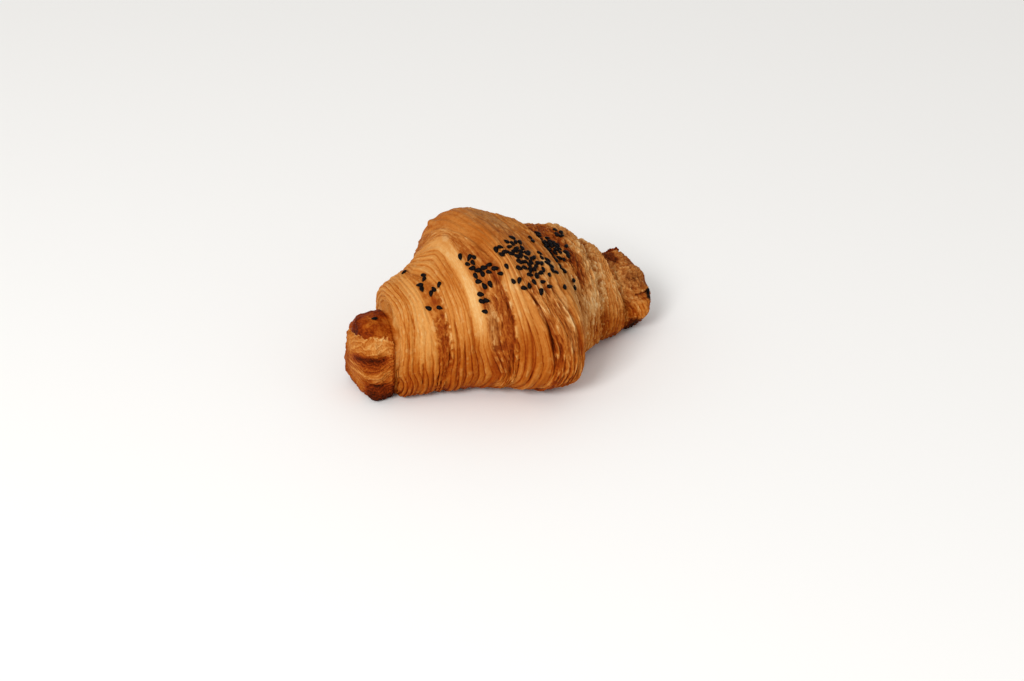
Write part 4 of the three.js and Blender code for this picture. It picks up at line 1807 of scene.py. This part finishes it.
@dataclass(frozen=True)
class Collar(Dressed):
    """A stretch of the roll from one border to another, closed at both ends."""

    name: str
    start: float
    end: float
    start_kind: End
    end_kind: End
    columns: int = 480
    ring_gap: float = 0.2
    over_reach: float = 0.004
    over_depth: float = 2.2
    under_reach: float = 0.018
    under_depth: float = 1.8

    def layers(self, crust: Crust) -> Array:
        """Layer stations of the rings, evenly spaced over the surface, with a pole's own one left out.

        Args:
            crust: the crust that the collar is part of.

        Returns:
            One station for each ring.
        """
        reach = {End.TIP: 0.0, End.OVER: self.over_reach, End.UNDER: self.under_reach}
        first = self.start - reach[self.start_kind]
        last = self.end + reach[self.end_kind]
        fine = np.linspace(first, last, 6000)
        total = crust.relief.roll.travel(fine)
        count = int((total[-1] - total[0]) / self.ring_gap) + 1
        rings = np.interp(np.linspace(total[0], total[-1], count), total, fine)
        if self.start_kind is End.TIP:
            rings = rings[1:]
        if self.end_kind is End.TIP:
            rings = rings[:-1]
        return rings

    def tuck(self, layer: Array) -> Array:
        """How far the surface is drawn inward near the ends: steeply where it lies over its neighbour, and
        gently where it runs on under it.

        Args:
            layer: layer stations.

        Returns:
            Depths in millimetres.
        """
        depth = np.zeros(layer.shape)
        for kind, past in ((self.start_kind, self.start - layer), (self.end_kind, layer - self.end)):
            if kind is End.OVER:
                depth = depth + self.over_depth * smooth(-0.003, 0.003, past)
            if kind is End.UNDER:
                depth = depth + self.under_depth * smooth(0.0, self.under_reach, past)
        return depth

    def build(self, crust: Crust) -> bpy.types.Object:
        """The collar's mesh: rings of the crust's surface, tucked in at the ends, between two centre points.

        Args:
            crust: the crust that the collar is part of.

        Returns:
            The new object.
        """
        angles = np.linspace(0.0, 2.0 * math.pi, self.columns, endpoint=False)
        layer, angle = np.meshgrid(self.layers(crust), angles, indexing="ij")
        surface = crust.surface(layer, angle)
        points = surface.points - self.tuck(layer)[..., None] * surface.normals
        points[..., 2] = np.maximum(points[..., 2], 0.0)
        ends = []
        for kind, ring, tip in ((self.start_kind, points[0], 0.0), (self.end_kind, points[-1], 1.0)):
            if kind is End.TIP:
                ends.append(crust.surface(np.array([tip]), np.array([0.0])).points[0])
            else:
                ends.append(ring.mean(axis=0))
        return make_tube(self.name, points, ends, crust.relief.roll, surface.bake)


@dataclass(frozen=True)
class CurledFlake(Dressed):
    """A sheet of dark crust that stands on the far tip's shoulder, higher toward its free end."""

    name: str = "curled_flake"
    station: float = 0.95
    angle: float = -28.0
    length: float = 9.6
    rise: float = 3.3
    sink: float = 1.6
    lean: float = 0.5
    thickness: float = 1.1
    browning: float = 0.84
    rings: int = 60
    sides: int = 40
    tear_grain: Grain = Grain(13)
    streak_grain: Grain = Grain(14)

    def build(self, crust: Crust) -> bpy.types.Object:
        """The flake's mesh: a tall thin ellipse carried along the crust. Its top climbs by a power of the way
        along and falls off at the free end, noise tears it, and it leans toward the front.

        Args:
            crust: the crust that the flake stands on.

        Returns:
            The new object.
        """
        roll = crust.relief.roll
        share, turn = np.meshgrid(
            np.linspace(0.0, 1.0, self.rings),
            np.linspace(0.0, 2.0 * math.pi, self.sides, endpoint=False),
            indexing="ij",
        )
        station = self.station - (1.0 - share) * self.length / roll.length
        angle = np.full(share.shape, math.radians(self.angle))
        surface = crust.surface(crust.layer_station(station, angle), angle)
        torn = self.tear_grain.layered(share * 5.0, 0.6 * np.sin(turn), 0.0, 3)
        top = self.rise * np.power(share, 1.5) * (1.0 - 0.5 * smooth(0.88, 1.0, share)) + 0.5 * torn * share
        middle = 0.5 * (top - self.sink)
        up = middle + 0.5 * (top + self.sink) * np.sin(turn)
        aside = 0.5 * self.thickness * np.cos(turn) + self.lean * np.square(up / self.rise) * np.sign(up)
        side = np.cross(surface.normals, [1.0, 0.0, 0.0])
        points = surface.points + up[..., None] * surface.normals + (aside + 0.5 * torn)[..., None] * side
        ends = [points[0].mean(axis=0), points[-1].mean(axis=0)]
        streak = self.streak_grain.layered(share * 7.0, up / 1.5, 0.0, 2)
        bake = surface.bake
        bake.browning = fraction(self.browning + 0.16 * streak)
        bake.blush_and_sheen = np.zeros(share.shape)
        bake.scorch = np.zeros(share.shape)
        return make_tube(self.name, points, ends, roll, bake)


@dataclass(frozen=True)
class SeedPatch:
    """Where some seeds lie: their middle, their reach along and round the roll, their count and drift."""

    station: float
    angle: float
    along: float = 0.0
    round_it: float = 0.0
    count: int = 1
    drift: float = 0.0


@dataclass(frozen=True)
class SesameSeeds(Dressed):
    """Black sesame seeds scattered over the crust in patches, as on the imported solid."""

    slot = Slot.SESAME

    name: str = "sesame_seeds"
    length: float = 3.2
    width: float = 1.95
    thickness: float = 1.2
    lift: float = 0.3
    spacing: float = 1.45
    room: float = 2.3
    easings: int = 12
    easing: float = 0.18
    attempts: int = 40
    draw_seed: int = 20261
    rings: int = 6
    sides: int = 8
    patches: tuple[SeedPatch, ...] = (
        SeedPatch(0.067, 8.0),
        SeedPatch(0.198, -15.0),
        SeedPatch(0.223, 10.0, 0.006, 3.0, 2),
        SeedPatch(0.205, 17.0, 0.003, 6.0, 2),
        SeedPatch(0.245, 28.0),
        SeedPatch(0.223, 29.0, 0.007, 1.5, 2),
        SeedPatch(0.198, 40.0),
        SeedPatch(0.223, 45.0),
        SeedPatch(0.308, 24.0),
        SeedPatch(0.318, 34.0, 0.008, 4.0, 5),
        SeedPatch(0.323, 42.0, 0.01, 2.5, 4),
        SeedPatch(0.335, 43.0, 0.004, 3.5, 2),
        SeedPatch(0.314, 46.0),
        SeedPatch(0.325, 52.0, 0.008, 2.0, 2),
        SeedPatch(0.308, 58.0, 0.007, 3.0, 3),
        SeedPatch(0.306, 65.0),
        SeedPatch(0.355, 48.0, 0.004, 3.0, 2, 0.004),
        SeedPatch(0.384, 38.0, 0.007, 4.0, 3),
        SeedPatch(0.375, 48.0),
        SeedPatch(0.438, 34.0, 0.022, 2.2, 5),
        SeedPatch(0.41, 40.0, 0.022, 2.0, 4),
        SeedPatch(0.441, 46.0, 0.023, 7.0, 16),
        SeedPatch(0.435, 53.0, 0.014, 2.5, 8, 0.024),
        SeedPatch(0.475, 50.0, 0.014, 3.0, 4),
        SeedPatch(0.378, 57.0, 0.008, 1.0, 2),
        SeedPatch(0.41, 60.0, 0.01, 1.8, 4, -0.018),
        SeedPatch(0.463, 60.0, 0.005, 2.0, 2),
        SeedPatch(0.434, 64.5),
        SeedPatch(0.538, 27.0, 0.004, 5.0, 2),
        SeedPatch(0.509, 45.0, 0.005, 3.5, 3),
        SeedPatch(0.527, 46.0),
        SeedPatch(0.519, 52.5, 0.009, 1.5, 3),
        SeedPatch(0.492, 56.0),
        SeedPatch(0.527, 62.5),
        SeedPatch(0.622, 6.0, 0.007, 5.0, 3),
        SeedPatch(0.647, 8.5),
        SeedPatch(0.632, 23.0, 0.027, 8.5, 19),
        SeedPatch(0.632, 37.0, 0.014, 4.0, 4),
        SeedPatch(0.666, 34.0, 0.005, 2.0, 2),
        SeedPatch(0.623, 46.0, 0.005, 1.5, 2),
        SeedPatch(0.648, 57.0, 0.003, 4.5, 2),
        SeedPatch(0.694, -4.0),
        SeedPatch(0.696, 5.0, 0.01, 5.0, 4),
        SeedPatch(0.691, 22.0, 0.005, 1.0, 2),
        SeedPatch(0.962, 72.0),
    )

    def places(self, crust: Crust) -> Array:
        """Station, angle and heading of each seed: random within its patch, with room kept between seeds.

        Args:
            crust: the crust that the seeds lie on.

        Returns:
            One row of three for each seed.
        """
        state = float(self.draw_seed)
        taken: list[Array] = []
        rows: list[tuple[float, float, float]] = []
        for patch in self.patches:
            for _ in range(patch.count):
                for _ in range(self.attempts):
                    draws = []
                    for _ in range(3):
                        state = (state * 1103515245.0 + 12345.0) % 2147483648.0
                        draws.append(state / 2147483648.0)
                    reach = math.sqrt(draws[0])
                    turn = 2.0 * math.pi * draws[1]
                    share = reach * math.sin(turn)
                    station = patch.station + patch.along * reach * math.cos(turn) + patch.drift * share
                    angle = math.radians(patch.angle + patch.round_it * share)
                    place = crust.relief.solid_point(np.array(station), np.array(angle))
                    if any(np.linalg.norm(place - other) < self.spacing for other in taken):
                        continue
                    taken.append(place)
                    rows.append((station, angle, 2.0 * math.pi * draws[2]))
                    break
        return self.eased_apart(crust, np.array(rows))

    def eased_apart(self, crust: Crust, rows: Array) -> Array:
        """Seeds moved a little so that they lie side by side: in each of some turns, two that are closer
        than their room are pushed apart by a share of what they lack.

        Args:
            crust: the crust that the seeds lie on.
            rows: station, angle and heading of each seed.

        Returns:
            The same rows with new stations and angles.
        """
        roll = crust.relief.roll
        flat = np.stack([roll.travel(rows[:, 0]), rows[:, 1] * roll.ring_radius], axis=-1)
        for _ in range(self.easings):
            apart = flat[:, None, :] - flat[None, :, :]
            distance = np.linalg.norm(apart, axis=-1) + 1e-6
            lack = np.where(distance < self.room, self.room - distance, 0.0)
            np.fill_diagonal(lack, 0.0)
            flat = flat + self.easing * (apart * (lack / distance)[..., None]).sum(axis=1)
        stations, distances = roll.travel_table
        station = np.interp(flat[:, 0], distances, stations)
        return np.stack([station, flat[:, 1] / roll.ring_radius, rows[:, 2]], axis=-1)

    def highest_beside(self, crust: Crust, station: Array, angle: Array, surface: Surface) -> Array:
        """How far the crust beside each seed stands up over the crust under its middle: the greatest height
        at six places round it, less a third for the sinking in.

        Args:
            crust: the crust that the seeds lie on.
            station: true stations of the seeds.
            angle: their angles.
            surface: the crust under their middles.

        Returns:
            Heights in millimetres, not below 0.
        """
        turns = np.linspace(0.0, 2.0 * math.pi, 6, endpoint=False)[:, None]
        roll = crust.relief.roll
        around = station + np.cos(turns) / roll.length
        beside = angle + np.sin(turns) / roll.ring_radius
        near = crust.surface(crust.layer_station(around, beside), beside)
        heights = ((near.points - surface.points) * surface.normals).sum(axis=-1)
        return 0.67 * np.maximum(heights.max(axis=0), 0.0)

    def seed_form(self) -> Array:
        """One seed as a flat drop: rings along it, each an ellipse, narrower toward one end.

        Returns:
            Points of the first pole, the rings and the last pole, in millimetres.
        """
        along = np.cos(np.linspace(math.pi, 0.0, self.rings + 2))
        turn = np.linspace(0.0, 2.0 * math.pi, self.sides, endpoint=False)
        radius = np.sqrt(1.0 - along[1:-1] ** 2)[:, None]
        taper = (1.0 - 0.34 * along[1:-1])[:, None]
        x = np.broadcast_to(along[1:-1, None], (self.rings, self.sides)) * self.length / 2.0
        y = radius * taper * np.cos(turn) * self.width / 2.0
        z = radius * taper * np.sin(turn) * self.thickness / 2.0
        body = np.stack([x, y, z], axis=-1).reshape(-1, 3)
        return np.concatenate([[[-self.length / 2.0, 0.0, 0.0]], body, [[self.length / 2.0, 0.0, 0.0]]])

    def build(self, crust: Crust) -> bpy.types.Object:
        """All the seeds in one mesh: the drop is turned to each place's own frame and set on the crust.

        Args:
            crust: the crust that the seeds lie on.

        Returns:
            The new object.
        """
        station, angle, heading = self.places(crust).T
        surface = crust.surface(crust.layer_station(station, angle), angle)
        lift = self.lift + self.highest_beside(crust, station, angle, surface)
        aim = np.stack([np.cos(heading), np.sin(heading), np.full(heading.shape, 0.3)], axis=-1)
        side = np.cross(aim, surface.normals)
        side = side / np.linalg.norm(side, axis=-1, keepdims=True)
        forward = np.cross(side, surface.normals)
        basis = np.stack([forward, -side, surface.normals], axis=1)
        growth = 1.0 + 0.1 * np.sin(7.0 * heading)
        form = self.seed_form()
        points = np.einsum("pk,nkj->npj", form, basis) * growth[:, None, None]
        points = points + (surface.points + lift[:, None] * surface.normals)[:, None, :]
        first = np.arange(len(station))[:, None, None] * len(form)
        quads = (tube_faces(self.rings, self.sides, 1)[None] + first).reshape(-1, 4)
        triangles = (end_fans(self.rings, self.sides)[None] + first).reshape(-1, 3)
        return make_piece(self.name, to_frame(points.reshape(-1, 3), crust.relief.roll), quads, triangles)


@dataclass(frozen=True)
class Studio:
    """Pale floor, soft light and the camera."""

    floor_side: float = 12.0
    floor_shade: Shade = Shade(246, 245, 243)
    floor_roughness: float = 0.9
    floor_specular: float = 0.1
    sky_strength: float = 0.68
    key_place: tuple[float, float, float] = (-1.2, -0.8, 1.1)
    key_side: float = 0.6
    key_power: float = 20.0
    lens: float = 70.0
    sensor: float = 36.0
    distance: float = 0.9159
    azimuth: float = -30.16
    elevation: float = 31.0
    target: tuple[float, float, float] = (0.0, 0.011944, -0.0007)
    shift: tuple[float, float] = (0.0110, 0.0092)

    def build(self) -> None:
        """Makes the floor, the sky, the light and the camera."""
        self.floor()
        self.sky()
        self.softbox("key_light", self.key_place, self.key_side, self.key_power)
        self.camera()
        bpy.context.scene.view_settings.view_transform = "Standard"

    def floor(self) -> None:
        """A large pale square under the croissant."""
        half = self.floor_side / 2.0
        mesh = bpy.data.meshes.new("floor")
        corners = [(-half, -half, 0.0), (half, -half, 0.0), (half, half, 0.0), (-half, half, 0.0)]
        mesh.from_pydata(corners, [], [(0, 1, 2, 3)])
        floor = bpy.data.objects.new("floor", mesh)
        bpy.context.scene.collection.objects.link(floor)
        board = Board("pale_floor")
        board.feed(board.shader["Base Color"], self.floor_shade.linear())
        board.feed(board.shader["Roughness"], self.floor_roughness)
        board.feed(board.shader["Specular IOR Level"], self.floor_specular)
        mesh.materials.append(board.material)

    def sky(self) -> None:
        """Even pale light from all round."""
        world = bpy.data.worlds.new("studio")
        world.use_nodes = True
        background = world.node_tree.nodes["Background"]
        background.inputs["Color"].default_value = (1.0, 0.99, 0.975, 1.0)
        background.inputs["Strength"].default_value = self.sky_strength
        bpy.context.scene.world = world

    def softbox(self, name: str, place: tuple[float, float, float], side: float, power: float) -> None:
        """A square soft light that looks at the croissant.

        Args:
            name: name of the light.
            place: its middle, in metres.
            side: its side, in metres.
            power: its power, in watts.
        """
        data = bpy.data.lights.new(name, "AREA")
        data.shape = "SQUARE"
        data.size = side
        data.energy = power
        light = bpy.data.objects.new(name, data)
        light.location = place
        light.rotation_mode = "QUATERNION"
        light.rotation_quaternion = (Vector((0.0, 0.0, 0.03)) - Vector(place)).to_track_quat("-Z", "Y")
        bpy.context.scene.collection.objects.link(light)

    def camera(self) -> None:
        """The camera at its viewing angle, looking at the target from its distance."""
        data = bpy.data.cameras.new("camera")
        data.lens = self.lens
        data.sensor_width = self.sensor
        data.shift_x, data.shift_y = self.shift
        azimuth = math.radians(self.azimuth)
        elevation = math.radians(self.elevation)
        level = math.cos(elevation)
        back = Vector((math.sin(azimuth) * level, -math.cos(azimuth) * level, math.sin(elevation)))
        camera = bpy.data.objects.new("camera", data)
        camera.location = Vector(self.target) + back * self.distance
        camera.rotation_mode = "QUATERNION"
        camera.rotation_quaternion = (-back).to_track_quat("-Z", "Y")
        bpy.context.scene.collection.objects.link(camera)
        bpy.context.scene.camera = camera


COLLARS = (
    Collar("near_tip", 0.0, 0.112, End.TIP, End.UNDER, columns=360),
    Collar("near_wrap", 0.1125, 0.2315, End.OVER, End.UNDER, columns=520),
    Collar("shoulder_wrap", 0.232, 0.352, End.OVER, End.UNDER, columns=560),
    Collar("crown_wrap", 0.3525, 0.505, End.OVER, End.UNDER, columns=560),
    Collar("belly_wrap", 0.505, 0.608, End.OVER, End.OVER, columns=560),
    Collar("far_shoulder_wrap", 0.608, 0.806, End.UNDER, End.OVER),
    Collar("far_wrap", 0.806, 0.87, End.UNDER, End.OVER),
    Collar("far_tip", 0.871, 1.0, End.UNDER, End.TIP, columns=360),
)


def main() -> None:
    """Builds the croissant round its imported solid, then the studio."""
    logging.basicConfig(level=logging.INFO, format="%(message)s")
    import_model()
    Studio().build()
    crust = Crust()
    crust_material = CrustFinish().material()
    for part in (*COLLARS, CurledFlake()):
        part.dress(part.build(crust), crust_material)
    seeds = SesameSeeds()
    seeds.dress(seeds.build(crust), SesameFinish().material())


if __name__ == "__main__":
    main()
